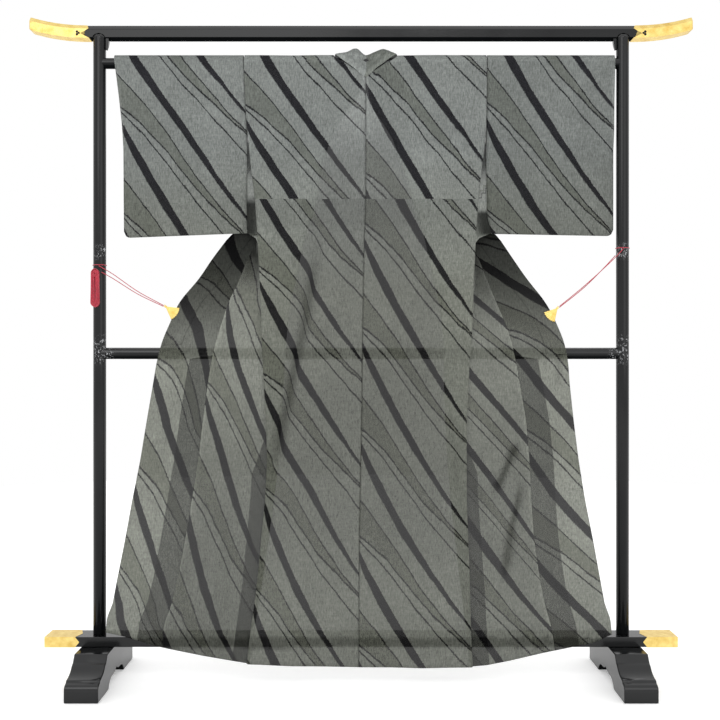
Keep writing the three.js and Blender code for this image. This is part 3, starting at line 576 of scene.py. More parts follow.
def collar_grid(columns):
    """The whole collar: up the left front, round the neck, where it stands up and folds out over
    the rod as a cubic curve from its seam to its free edge, and down the right front."""
    left = collar_front("left", columns)[::-1]
    right = collar_front("right", columns)
    t = np.linspace(0, 1, columns)[None, :, None]
    seam = NECK_BAND[:, None, 0:3]
    free = NECK_BAND[:, None, 5:8]
    rise = NECK_BAND[:, None, 3:4]
    lean = NECK_BAND[:, None, 4:5]
    up = np.concatenate([0 * rise, -lean, rise], axis=-1)
    over = np.concatenate([0 * rise, lean, rise], axis=-1)
    neck = ((1 - t) ** 3 * seam + 3 * (1 - t) ** 2 * t * (seam + up)
            + 3 * (1 - t) * t ** 2 * (free + over) + t ** 3 * free)
    knots = np.concatenate([left[-1:, :, :3], neck, right[:1, :, :3]])
    dense = bend(knots, 5)
    u = 0.15 + 0 * dense[:, :, 0]
    v = np.where(dense[:, :, 0] < 12, 0.3, 0.58)
    # Painted highlights: a light line along the collar's seam edge and another along its fold near 1683.
    seam_edge = np.linspace(0, 1, columns)[None, :] < 0.05
    tone = 0.86 + 0.5 * seam_edge + 0.3 * (np.abs(dense[:, :, 2] - 1683) < 3)
    band = np.concatenate([dense, np.stack([u, v, tone, 0 * u + NO_STRIP], axis=-1)], axis=-1)
    return np.concatenate([left[:-1], band, right[1:]])


def sleeve_grid(side, columns):
    """A flat bag of cloth folded over the rod: two layers that part from the foot up to the rod's
    width, held together at the sewn part of the cuff, with a rounded lower corner."""
    sleeve = SLEEVES[side]
    edges = sleeve["edges"]
    u = np.linspace(0, 1, columns)[None, :]
    share = np.linspace(0, 1, 44)[:, None]
    lowest = lerp(sleeve["inner_foot"], sleeve["cuff_foot"], u)
    z = lerp(lowest, ROD_Z, share)
    width = np.abs(read(edges, "cuff", z) - read(edges, "inner", z))
    from_cuff = (1 - u) * width
    near = np.clip(CORNER - from_cuff, 0, CORNER)
    z = z + (CORNER - np.sqrt(CORNER ** 2 - near ** 2)) * (1 - share) ** 3
    x = lerp(read(edges, "inner", z), read(edges, "cuff", z), u)
    sewn = smooth(ROD_Z + DRAPE_R - CUFF_OPENING + 30 - z, 0, 60)
    pinch = lerp(1, smooth(from_cuff, 0, CUFF_PINCH), sewn)
    y = lerp(SLEEVE_LEAST, DRAPE_R, share * pinch)
    depth, shade = crease(CREASES["sleeve_" + side], x, z)
    free = smooth(from_cuff, 4, 40) * smooth(u, 0, 0.08)
    free = free * smooth(share, 0.05, 0.4) * smooth(1 - share, 0, 0.1)
    soft = (depth + ripple(x, z, 1.2, 11.0)) * free * 0.8
    angle = np.linspace(172, 8, 13)[:, None]
    lift = LIFT * np.sin(np.radians(angle)) ** 2
    arc_z = ROD_Z + DRAPE_R * np.sin(np.radians(angle)) + lift + 0 * u
    arc_x = lerp(read(edges, "inner", arc_z), read(edges, "cuff", arc_z), u)
    arc_y = DRAPE_R * np.cos(np.radians(angle)) + 0 * u
    across = 1 - u if side == "left" else u
    panel = "sleeve_" + side
    top = ROD_Z + np.pi * DRAPE_R
    # Painted shade, deeper towards the sleeve's foot and over all of the right sleeve.
    under = np.interp(z, [1190, 1500], [0.86, 1.0]) * (1 if side == "left" else 0.88)
    back = pack_grid(x, soft - y, z, across, stripe_phase(panel, z, across), (1 - shade) * under, NO_STRIP)
    ran = ROD_Z + np.radians(180 - angle) * DRAPE_R
    arc = pack_grid(arc_x, arc_y, arc_z, across, stripe_phase(panel, ran, across), 1.0, NO_STRIP)
    front = pack_grid(x, y - soft, z, across,
                      stripe_phase(panel, top + ROD_Z - z, across), (1 - shade) * under, NO_STRIP)
    return np.concatenate([back, arc, front[::-1]])


# ---- Meshes ----


def mesh_object(name, points, faces):
    """A new object at the origin with its place in its mesh, given in millimetres."""
    mesh = bpy.data.meshes.new(name)
    mesh.from_pydata((np.asarray(points, float).reshape(-1, 3) * MM).tolist(), [], faces)
    mesh.polygons.foreach_set("use_smooth", np.ones(len(mesh.polygons), bool))
    mesh.update()
    made = bpy.data.objects.new(name, mesh)
    bpy.context.scene.collection.objects.link(made)
    return made


def grid_faces(rows, columns, wrap=False):
    """Corner numbers of the quads between the points of a grid. A wrapped grid closes on itself
    along its columns."""
    r = np.arange(rows - 1)[:, None]
    c = np.arange(columns if wrap else columns - 1)[None, :]
    after = (c + 1) % columns
    corners = [r * columns + c, r * columns + after, (r + 1) * columns + after, (r + 1) * columns + c]
    return np.stack(np.broadcast_arrays(*corners), axis=-1).reshape(-1, 4)


def cloth_object(name, grid, thick, finish):
    """A thin shell about a grid of cloth. The grid's last four layers become the stripe's UV map, the
    tone, which is painted light and shade for doubled layers, creases and shaded places, and how far
    inside a doubled strip each point lies."""
    rows, columns = grid.shape[:2]
    flat = grid.reshape(-1, 7)
    made = mesh_object(name, flat[:, :3], grid_faces(rows, columns).tolist())
    mesh = made.data
    corner = np.empty(len(mesh.loops), int)
    mesh.loops.foreach_get("vertex_index", corner)
    mesh.uv_layers.new(name="stripe").data.foreach_set("uv", flat[corner, 3:5].ravel())
    for label, column in (("tone", 5), ("doubled", 6)):
        mesh.attributes.new(label, "FLOAT", "POINT").data.foreach_set("value", flat[:, column].copy())
    shell = made.modifiers.new("Cloth wall", "SOLIDIFY")
    shell.thickness = thick * MM
    shell.offset = 0
    mesh.materials.append(finish)
    return made


def softened(node, name, width, finish):
    """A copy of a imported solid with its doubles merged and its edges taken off."""
    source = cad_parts[node]
    mesh = source.data.copy()
    mesh.name = name
    work = bmesh.new()
    work.from_mesh(mesh)
    bmesh.ops.remove_doubles(work, verts=work.verts, dist=2e-5)
    bmesh.ops.dissolve_limit(work, angle_limit=math.radians(1), verts=work.verts, edges=work.edges)
    work.to_mesh(mesh)
    work.free()
    mesh.materials.clear()
    mesh.materials.append(finish)
    mesh.polygons.foreach_set("use_smooth", np.ones(len(mesh.polygons), bool))
    mesh.set_sharp_from_angle(angle=math.radians(35))
    made = bpy.data.objects.new(name, mesh)
    bpy.context.scene.collection.objects.link(made)
    bevel = made.modifiers.new("Eased edges", "BEVEL")
    bevel.width = width * MM
    bevel.segments = 2
    bevel.limit_method = "ANGLE"
    bevel.angle_limit = math.radians(25)
    return made


def turned(name, outline, x, finish):
    """A turned post: each outline point (radius, z) carried round the post's axis, and the part above
    the lap cut flat where the top bar passes behind it."""
    outline = np.array(outline, float)
    angle = np.linspace(0, 2 * np.pi, 48, endpoint=False)[None, :]
    px = x + outline[:, :1] * np.cos(angle)
    py = outline[:, :1] * np.sin(angle)
    pz = outline[:, 1:] + 0 * px
    py = np.where(pz > LAP_Z - 0.05, np.minimum(py, LAP_Y), py)
    points = np.stack([px, py, pz], axis=-1)
    count = len(outline)
    faces = grid_faces(count, 48, wrap=True).tolist()
    faces.append(list(range(47, -1, -1)))
    faces.append([(count - 1) * 48 + i for i in range(48)])
    made = mesh_object(name, points, faces)
    made.data.set_sharp_from_angle(angle=math.radians(40))
    made.data.materials.append(finish)
    return made


def round_bar(name, radius, half, z, finish):
    """A round bar along x with closed ends: circles at its two ends and near them."""
    x = np.array([-half, -half + 1, -half / 2, 0, half / 2, half - 1, half])[:, None]
    angle = np.linspace(0, 2 * np.pi, 40, endpoint=False)[None, :]
    ring = np.stack(np.broadcast_arrays(x, -radius * np.cos(angle), z + radius * np.sin(angle)), axis=-1)
    faces = grid_faces(7, 40, wrap=True).tolist()
    faces.append(list(range(39, -1, -1)))
    faces.append([6 * 40 + i for i in range(40)])
    made = mesh_object(name, ring, faces)
    recalculate(made)
    made.data.set_sharp_from_angle(angle=math.radians(40))
    made.data.materials.append(finish)
    return made


def recalculate(made, fill=False):
    """Turns the faces of a closed mesh outwards, with its holes filled first where that is asked."""
    work = bmesh.new()
    work.from_mesh(made.data)
    if fill:
        bmesh.ops.holes_fill(work, edges=[e for e in work.edges if e.is_boundary])
    bmesh.ops.recalc_face_normals(work, faces=work.faces)
    work.to_mesh(made.data)
    work.free()


def tube(path, radius, sides, closed):
    """Points and faces of a round tube: a circle carried along a path, square to its direction, with
    its start turned towards the fixed side direction that lies most across the path."""
    path = np.asarray(path, float)
    if closed:
        ahead = np.roll(path, -1, 0) - np.roll(path, 1, 0)
    else:
        ahead = np.gradient(path, axis=0)
    ahead /= np.linalg.norm(ahead, axis=1, keepdims=True)
    fixed = np.eye(3)[np.argmin(np.abs(ahead).max(0))]
    first = np.cross(ahead, fixed)
    first /= np.linalg.norm(first, axis=1, keepdims=True)
    second = np.cross(ahead, first)
    angle = np.linspace(0, 2 * np.pi, sides, endpoint=False)
    ring = (first[:, None, :] * np.cos(angle)[None, :, None]
            + second[:, None, :] * np.sin(angle)[None, :, None])
    points = path[:, None, :] + radius * ring
    if closed:
        points = np.concatenate([points, points[:1]])
    faces = grid_faces(len(points), sides, wrap=True)
    if closed:
        faces = faces % (len(path) * sides)
        points = points[:-1]
        return points.reshape(-1, 3), faces.tolist()
    ends = [list(range(sides))[::-1], [(len(path) - 1) * sides + i for i in range(sides)]]
    return points.reshape(-1, 3), faces.tolist() + ends


def joined(name, parts, finish):
    """One object out of several lists of points and faces."""
    points = []
    faces = []
    total = 0
    for some, corners in parts:
        points.append(np.asarray(some).reshape(-1, 3))
        faces += [[i + total for i in face] for face in corners]
        total += len(points[-1])
    made = mesh_object(name, np.concatenate(points), faces)
    recalculate(made)
    made.data.materials.append(finish)
    return made


# ---- Materials ----


class Shade:
    """A material's node tree, with short calls for what the finishes use."""

    def __init__(self, name):
        self.material = bpy.data.materials.new(name)
        self.material.use_nodes = True
        self.tree = self.material.node_tree
        self.surface = next(n for n in self.tree.nodes if n.type == "BSDF_PRINCIPLED")

    def add(self, kind, **settings):
        made = self.tree.nodes.new(kind)
        for key, value in settings.items():
            setattr(made, key, value)
        return made

    def put(self, socket, value):
        if isinstance(value, bpy.types.NodeSocket):
            self.tree.links.new(value, socket)
        else:
            socket.default_value = value

    def math(self, operation, a, b=0.0, c=0.0, clamp=False):
        made = self.add("ShaderNodeMath", operation=operation, use_clamp=clamp)
        for socket, value in zip(made.inputs, (a, b, c)):
            self.put(socket, value)
        return made.outputs[0]

    def above(self, value, edge):
        """1 where value is over 0, with a soft edge that wide."""
        return self.math("MULTIPLY_ADD", value, 1 / edge, 0.5, clamp=True)

    def curve(self, value, points):
        made = self.add("ShaderNodeFloatCurve")
        line = made.mapping.curves[0]
        for at, height in points[1:-1]:
            line.points.new(at, height)
        line.points[0].location = points[0]
        line.points[-1].location = points[-1]
        made.mapping.update()
        self.put(made.inputs["Value"], value)
        return made.outputs[0]

    def mix(self, amount, a, b):
        made = self.add("ShaderNodeMix", data_type="RGBA")
        self.put(made.inputs[0], amount)
        self.put(made.inputs[6], a)
        self.put(made.inputs[7], b)
        return made.outputs[2]

    def dim(self, colour, amount):
        made = self.add("ShaderNodeVectorMath", operation="SCALE")
        self.put(made.inputs[0], colour)
        self.put(made.inputs["Scale"], amount)
        return made.outputs[0]

    def place(self, scale=(1, 1, 1)):
        coords = self.add("ShaderNodeTexCoord")
        mapping = self.add("ShaderNodeMapping")
        mapping.inputs["Scale"].default_value = scale
        self.put(mapping.inputs["Vector"], coords.outputs["Object"])
        return mapping.outputs[0]

    def noise(self, vector, scale, detail=2.0, rough=0.5):
        made = self.add("ShaderNodeTexNoise")
        self.put(made.inputs["Vector"], vector)
        made.inputs["Scale"].default_value = scale
        made.inputs["Detail"].default_value = detail
        made.inputs["Roughness"].default_value = rough
        return made.outputs["Fac"]

    def bump(self, height, strength, distance):
        made = self.add("ShaderNodeBump")
        made.inputs["Strength"].default_value = strength
        made.inputs["Distance"].default_value = distance
        self.put(made.inputs["Height"], height)
        self.put(self.surface.inputs["Normal"], made.outputs[0])

    def finish(self, settings):
        """Sets or links the surface's inputs by name, and gives the material."""
        for name, value in settings.items():
            self.put(self.surface.inputs[name], value)
        return self.material


BROAD = [(0, 0.085), (0.04, 0.13), (0.1, 0.152), (0.4, 0.142), (0.6, 0.11), (0.8, 0.076), (1, 0.036)]
FINE_LINES = [
    [(0, 0.54), (0.27, 0.39), (0.58, 0.325), (0.85, 0.25), (1, 0.19)],
    [(0, 0.865), (0.27, 0.6), (0.58, 0.45), (0.85, 0.3), (1, 0.215)],
    [(0, 0.915), (0.27, 0.7), (0.58, 0.575), (0.85, 0.47), (1, 0.42)],
]


def cloth_finish(name, plain, banded, dark, see=0.04):
    """Sheer cloth with an oblique wavering stripe. Across the stripe's UV map, u is the share of the
    woven width and v counts repeats. In each repeat a broad black stripe starts the count and thins
    out with u, a banded stripe lies between the first two fine lines, and a third line follows. The tone
    is painted light and shade: where it is low, many layers lie together and less light passes through,
    or shade falls in a crease, under a sleeve or behind a rail, and where it is over one it is a painted
    highlight. Inside a doubled strip the colour is painted darker, as less light passes through two layers."""
    s = Shade(name)
    uv = s.add("ShaderNodeUVMap", uv_map="stripe")
    parts = s.add("ShaderNodeSeparateXYZ")
    s.put(parts.inputs[0], uv.outputs[0])
    u, v = parts.outputs[0], parts.outputs[1]
    waver = s.add("ShaderNodeMapping")
    waver.inputs["Scale"].default_value = (7, 5, 1)
    s.put(waver.inputs["Vector"], uv.outputs[0])
    slow = s.math("MULTIPLY_ADD", s.noise(waver.outputs[0], 1.0, 1.0), 0.05, -0.025)
    jag = s.math("MULTIPLY_ADD", s.noise(s.place((1, 1, 0.7)), 420, 1.0), 0.034, -0.017)
    turns = s.math("FRACT", s.math("ADD", s.math("ADD", v, slow), jag))
    broad = s.above(s.math("SUBTRACT", s.curve(u, BROAD), turns), 0.014)
    lines = [s.curve(u, points) for points in FINE_LINES]
    ink = broad
    for line in lines:
        gap = s.math("ABSOLUTE", s.math("SUBTRACT", turns, line))
        ink = s.math("MAXIMUM", ink, s.above(s.math("SUBTRACT", 0.0095, gap), 0.009))
    band = s.math("MULTIPLY", s.above(s.math("SUBTRACT", turns, lines[0]), 0.012),
                  s.above(s.math("SUBTRACT", lines[1], turns), 0.012))
    cloth = s.mix(s.math("MULTIPLY", band, 0.9), plain, banded)
    cloth = s.mix(s.math("MULTIPLY", ink, 0.98), cloth, dark)
    warp = s.noise(s.place((420, 420, 95)), 1.0, 3.0, 0.7)
    weft = s.noise(s.place((60, 60, 420)), 1.0, 2.0, 0.6)
    cloudy = s.noise(s.place(), 9.0, 2.0)
    grain = s.math("MULTIPLY", warp, 2.0)
    grain = s.math("MULTIPLY", grain, s.math("MULTIPLY_ADD", weft, 0.6, 0.7))
    grain = s.math("MULTIPLY", grain, s.math("MULTIPLY_ADD", cloudy, 0.36, 0.82))
    tone = s.add("ShaderNodeAttribute", attribute_name="tone").outputs["Fac"]
    inside = s.add("ShaderNodeAttribute", attribute_name="doubled").outputs["Fac"]
    doubled = s.math("MULTIPLY_ADD", s.above(inside, 1.6), -0.62, 1.0)
    amount = s.math("MULTIPLY", s.math("MULTIPLY", grain, tone), doubled)
    height = s.add("ShaderNodeSeparateXYZ")
    s.put(height.inputs[0], s.place())
    low = s.math("MULTIPLY_ADD", height.outputs[2], -2.5, 3.6, clamp=True)
    warm = s.add("ShaderNodeMix", data_type="RGBA", blend_type="MULTIPLY")
    s.put(warm.inputs[0], low)
    s.put(warm.inputs[6], cloth)
    warm.inputs[7].default_value = (1.02, 1.0, 0.90, 1)
    layers = s.math("MULTIPLY", tone, 2.2, clamp=True)
    s.bump(s.math("ADD", warp, weft), 0.35, 0.0006)
    return s.finish({
        "Base Color": s.dim(warm.outputs[2], amount), "Roughness": 0.9, "Specular IOR Level": 0.03,
        "Alpha": s.math("MULTIPLY_ADD", layers, -math.sqrt(see), 1.0),
    })


def lacquer_finish(name, scrapes=False):
    """Black lacquer: a faint cloudiness in colour and gloss, fine dust, less gloss where a face looks
    down, and for the posts and the middle rail pale scrapes where the clips' cords and the rail rub."""
    s = Shade(name)
    cloudy = s.noise(s.place(), 14.0, 3.0)
    dust = s.noise(s.place(), 420.0, 2.0, 0.7)
    base = s.mix(cloudy, (0.002, 0.0023, 0.0026, 1), (0.006, 0.0066, 0.0072, 1))
    rough = s.math("MULTIPLY_ADD", cloudy, 0.12, 0.12)
    if scrapes:
        parts = s.add("ShaderNodeSeparateXYZ")
        s.put(parts.inputs[0], s.place())
        z = parts.outputs[2]
        near_rail = s.math("SUBTRACT", 0.034, s.math("ABSOLUTE", s.math("SUBTRACT", z, 0.892)))
        near_cord = s.math("SUBTRACT", 0.016, s.math("ABSOLUTE", s.math("SUBTRACT", z, 1.157)))
        zone = s.math("MAXIMUM", s.above(near_rail, 0.02), s.above(near_cord, 0.02))
        side = s.above(s.math("SUBTRACT", s.math("ABSOLUTE", parts.outputs[0]), 0.67), 0.02)
        scratch = s.noise(s.place((1, 1, 0.6)), 210.0, 4.0, 0.75)
        marks = s.math("MULTIPLY", s.above(s.math("SUBTRACT", scratch, 0.585), 0.03),
                       s.math("MULTIPLY", zone, side))
        base = s.mix(s.math("MULTIPLY", marks, 0.8), base, (0.42, 0.43, 0.44, 1))
        rough = s.math("ADD", rough, s.math("MULTIPLY", marks, 0.2))
    facing = s.add("ShaderNodeSeparateXYZ")
    s.put(facing.inputs[0], s.add("ShaderNodeNewGeometry").outputs["Normal"])
    gloss = s.math("MULTIPLY_ADD", facing.outputs[2], 0.55, 0.34, clamp=True)
    s.bump(s.math("ADD", cloudy, dust), 0.08, 0.0008)
    return s.finish({
        "Base Color": base, "Roughness": rough, "Specular IOR Level": s.math("MINIMUM", gloss, 0.55),
    })


HEART_LOBES = [(0.7655, 1.7487, 0.0036), (0.7655, 1.7415, 0.0036), (0.7605, 1.7451, 0.003)]


def gilt_finish(name, hearts=False):
    """Gilt metal: soft hammered unevenness, browner in its hollows, and on the top caps the dark
    three-lobed cut at the point of the lacquer's dart."""
    s = Shade(name)
    uneven = s.noise(s.place(), 55.0, 3.0, 0.6)
    brushed = s.noise(s.place((30, 400, 400)), 1.0, 2.0)
    spots = s.math("MULTIPLY_ADD", uneven, 1.4, -0.2, clamp=True)
    base = s.mix(spots, (0.62, 0.38, 0.06, 1), (0.96, 0.78, 0.30, 1))
    if hearts:
        parts = s.add("ShaderNodeSeparateXYZ")
        s.put(parts.inputs[0], s.place())
        x = s.math("ABSOLUTE", parts.outputs[0])
        front = s.above(s.math("SUBTRACT", -0.0098, parts.outputs[1]), 0.0004)
        cut = None
        for cx, cz, radius in HEART_LOBES:
            gap = s.math("SQRT", s.math("ADD", s.math("POWER", s.math("SUBTRACT", x, cx), 2.0),
                                        s.math("POWER", s.math("SUBTRACT", parts.outputs[2], cz), 2.0)))
            lobe = s.above(s.math("SUBTRACT", radius, gap), 0.0008)
            cut = lobe if cut is None else s.math("MAXIMUM", cut, lobe)
        base = s.mix(s.math("MULTIPLY", cut, front), base, (0.012, 0.012, 0.012, 1))
    s.bump(s.math("ADD", uneven, brushed), 0.25, 0.0008)
    return s.finish({
        "Base Color": base, "Metallic": 0.7, "Roughness": s.math("MULTIPLY_ADD", brushed, 0.2, 0.26),
    })


def cord_finish(name):
    """Crimson twisted silk cord: fine slanting strands and uneven dye."""
    s = Shade(name)
    wave = s.add("ShaderNodeTexWave", wave_type="BANDS", bands_direction="DIAGONAL")
    s.put(wave.inputs["Vector"], s.place())
    wave.inputs["Scale"].default_value = 260.0
    wave.inputs["Distortion"].default_value = 1.5
    dye = s.noise(s.place(), 60.0, 2.0)
    base = s.mix(dye, (0.34, 0.004, 0.025, 1), (0.55, 0.015, 0.045, 1))
    base = s.mix(s.math("MULTIPLY", wave.outputs["Fac"], 0.3), base, (0.30, 0.006, 0.02, 1))
    s.bump(wave.outputs["Fac"], 0.5, 0.0006)
    return s.finish({"Base Color": base, "Roughness": 0.6, "Sheen Weight": 0.4})


def floor_finish(name):
    """Seamless pale studio paper, with the faintest unevenness. It glows faintly, a painted light that keeps
    it white and lights the cloth from below.
    """
    s = Shade(name)
    uneven = s.noise(s.place(), 3.0, 2.0)
    return s.finish({
        "Base Color": s.mix(uneven, (0.90, 0.90, 0.895, 1), (0.93, 0.93, 0.93, 1)), "Roughness": 0.9,
        "Specular IOR Level": 0.1, "Emission Color": (1, 1, 1, 1), "Emission Strength": 0.3,
    })


# ---- Settings ----


class ClothSettings(bpy.types.PropertyGroup):
    plain: bpy.props.FloatVectorProperty(
        name="Plain cloth", description="Colour of the cloth between the stripes", subtype="COLOR",
        size=4, default=(0.228, 0.243, 0.232, 1), min=0, max=1)
    banded: bpy.props.FloatVectorProperty(
        name="Banded stripe", description="Colour of the soft stripe between two fine lines",
        subtype="COLOR", size=4, default=(0.152, 0.163, 0.146, 1), min=0, max=1)
    dark: bpy.props.FloatVectorProperty(
        name="Dark stripe", description="Colour of the broad stripe and the fine lines",
        subtype="COLOR", size=4, default=(0.018, 0.018, 0.021, 1), min=0, max=1)
    wall: bpy.props.FloatProperty(
        name="Cloth wall", description="Thickness of one layer of cloth", unit="LENGTH",
        default=0.0006, min=0.0003, max=0.002, precision=4)
    sheer: bpy.props.FloatProperty(
        name="Sheerness", description="Share of the light that passes straight through one layer",
        default=0.04, min=0.0, max=0.5)


class StandSettings(bpy.types.PropertyGroup):
    edge: bpy.props.FloatProperty(
        name="Eased edge", description="How much is taken off the edges of the stand's boards",
        unit="LENGTH", default=0.0014, min=0.0002, max=0.004, precision=4)
    strand: bpy.props.FloatProperty(
        name="Strand", description="Radius of one strand of the spare cord's hank", unit="LENGTH",
        default=0.0011, min=0.0005, max=0.002, precision=4)


class StudioSettings(bpy.types.PropertyGroup):
    surround: bpy.props.FloatProperty(
        name="Surround", description="Strength of the even light from all round",
        default=1.0, min=0, max=2)
    key: bpy.props.FloatProperty(
        name="Key light", description="Power of the large soft light above the camera", subtype="POWER",
        default=26, min=0, max=1000)


# ---- Operators ----


class KIMONO_OT_stage(bpy.types.Operator):
    """Makes the camera, the pale floor, the white surround and the soft lights"""

    bl_idname = "kimono.stage"
    bl_label = "Studio"

    def execute(self, context):
        studio = context.scene.kimono_studio
        view = bpy.data.cameras.new("camera")
        camera = bpy.data.objects.new("camera", view)
        context.scene.collection.objects.link(camera)
        camera.location = VIEW_FROM
        camera.rotation_euler = (math.radians(90), 0, 0)
        view.sensor_width = 36
        view.lens = LENS
        view.clip_end = 50
        context.scene.camera = camera
        angle = np.linspace(0, 2 * np.pi, 64, endpoint=False)
        rings = np.array([0.0, 1500, 4500])[:, None]
        floor_z = -0.6
        ring = np.broadcast_arrays(rings * np.cos(angle), rings * np.sin(angle), floor_z)
        points = np.stack(ring, axis=-1)
        floor = mesh_object("studio_floor", points[1:], grid_faces(2, 64, wrap=True).tolist()
                            + [list(range(64))])
        recalculate(floor)
        floor.data.materials.append(floor_finish("studio_paper"))
        world = bpy.data.worlds.new("studio")
        world.use_nodes = True
        lit = world.node_tree.nodes["Background"]
        lit.inputs["Color"].default_value = (1, 1, 1, 1)
        lit.inputs["Strength"].default_value = studio.surround
        context.scene.world = world
        for name, place, size, power in (
            ("key_light", (-1.1, -3.2, 3.0), 2.2, studio.key),
            ("fill_light", (1.8, -2.6, 1.6), 2.0, studio.key * 0.35),
            ("rear_light", (0.4, 2.6, 3.2), 2.4, studio.key * 0.6),
            ("gleam_light", (0.5, -3.0, 3.3), 0.34, studio.key * 0.3),
        ):
            light = bpy.data.lights.new(name, "AREA")
            light.energy = power
            light.size = size
            lamp = bpy.data.objects.new(name, light)
            lamp.location = place
            aim = Vector((0, 0.02, 0.85)) - Vector(place)
            lamp.rotation_euler = aim.to_track_quat("-Z", "Y").to_euler()
            context.scene.collection.objects.link(lamp)
        context.scene.view_settings.view_transform = "Standard"
        return {"FINISHED"}


def finished(made, slot, *nodes):
    """Hides the imported pieces that a made piece replaces and hangs it under the root. Its slot is not
    used.
    """
    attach(made, "root")
    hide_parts(*nodes)
    return made


class KIMONO_OT_cloth(bpy.types.Operator):
    """Makes the two body lengths, the sleeves, the okumi and the collar"""

    bl_idname = "kimono.cloth"
    bl_label = "Kimono"

    def execute(self, context):
        cloth = context.scene.kimono_cloth
        wall = cloth.wall / MM
        finish = cloth_finish("sheer_stripe", tuple(cloth.plain), tuple(cloth.banded),
                              tuple(cloth.dark), cloth.sheer)
        # A darker copy of the cloth for the sleeves, as painted shade.
        sleeve = cloth_finish(
            "sheer_stripe_sleeve", tuple(c * 0.86 for c in cloth.plain[:3]) + (1,),
            tuple(c * 0.9 for c in cloth.banded[:3]) + (1,), tuple(cloth.dark), cloth.sheer)
        for side in ("left", "right"):
            lengths = [make(side, COLUMNS["body"]) for make in (back_grid, shoulder_grid, front_grid)]
            body = cloth_object(f"cloth_body_{side}", np.concatenate(lengths), wall, finish)
            finished(body, "cloth", f"body_{side}")
            piece = cloth_object(f"cloth_okumi_{side}", okumi_grid(side, COLUMNS["okumi"]), wall, finish)
            finished(piece, "cloth", f"okumi_{side}")
            bag = cloth_object(f"cloth_sleeve_{side}", sleeve_grid(side, COLUMNS["sleeve"]), wall, sleeve)
            finished(bag, "cloth", f"sleeve_{side}")
        band = cloth_object("cloth_collar", collar_grid(COLUMNS["collar"]), COLLAR_WALL, finish)
        finished(band, "cloth", "collar")
        return {"FINISHED"}


class KIMONO_OT_stand(bpy.types.Operator):
    """Makes the lacquered posts, rails, feet and brackets"""

    bl_idname = "kimono.stand"
    bl_label = "Stand"

    def execute(self, context):
        edge = context.scene.kimono_stand.edge / MM
        plain = lacquer_finish("black_lacquer")
        worn = lacquer_finish("black_lacquer_rubbed", scrapes=True)
        outline = [(POST_R - 0.8, POST_FOOT), (POST_R, POST_FOOT + 1), (POST_R, 880), (POST_R, 1640),
                   (POST_R, LAP_Z - 0.3), (POST_R, LAP_Z), (POST_R, POST_TOP - 11),
                   (POST_R * 0.94, POST_TOP - 8), (POST_R * 0.8, POST_TOP - 5),
                   (POST_R * 0.55, POST_TOP - 2.2), (POST_R * 0.25, POST_TOP - 0.5), (0.5, POST_TOP)]
        for side, x in (("left", -POST_X), ("right", POST_X)):
            finished(turned(f"turned_post_{side}", outline, x, worn), "lacquer", f"post_{side}")
            for node, width in ((f"foot_{side}", edge * 1.6), (f"bracket_{side}", edge * 0.6)):
                finished(softened(node, f"lacquered_{node}", width, plain), "lacquer", node)
        finished(round_bar("middle_rail_turned", MID_R, RAIL_HALF, MID_Z, worn), "lacquer", "middle_rail")
        finished(round_bar("kimono_rod_turned", ROD_R, RAIL_HALF, ROD_Z, plain), "lacquer", "kimono_rod")
        for node in ("base_rail", "top_bar"):
            finished(softened(node, f"lacquered_{node}", edge, plain), "lacquer", node)
        return {"FINISHED"}


def section_points(corners, count):
    """Points spaced along a closed outline of corners, in even steps of each side."""
    corners = np.array(corners, float)
    after = np.roll(corners, -1, 0)
    t = np.linspace(0, 1, count, endpoint=False)[None, :, None]
    return lerp(corners[:, None, :], after[:, None, :], t).reshape(-1, 2)


def sheath(name, section, inner, tip, lift, side, proud, finish):
    """A gilt sheath on the end of a bar: the bar's outline in y and z, grown a little, carried from an
    inner edge that changes round the outline to the tip, and closed over the tip."""
    centre = section.mean(0)
    grown = section + proud * np.sign(section - centre)
    t = np.array([0, 0.12, 0.25, 0.4, 0.55, 0.7, 0.82, 0.92, 0.985, 1, 1])[:, None]
    shrink = np.array([1, 1, 1, 1, 1, 1, 1, 1, 1, 0.93, 0.02])[:, None]
    x = side * lerp(inner[None, :], tip, t)
    y = lerp(centre[0], grown[None, :, 0], shrink)
    start = inner.min()
    share = np.clip((np.abs(x) - start) / (tip - start), 0, 1)
    z = lerp(centre[1], grown[None, :, 1], shrink) + lift * share ** 2.2
    faces = grid_faces(len(t), len(section), wrap=True).tolist()
    made = mesh_object(name, np.stack([x, y, z], axis=-1), faces)
    recalculate(made, fill=True)
    made.data.set_sharp_from_angle(angle=math.radians(28))
    made.data.materials.append(finish)
    return made


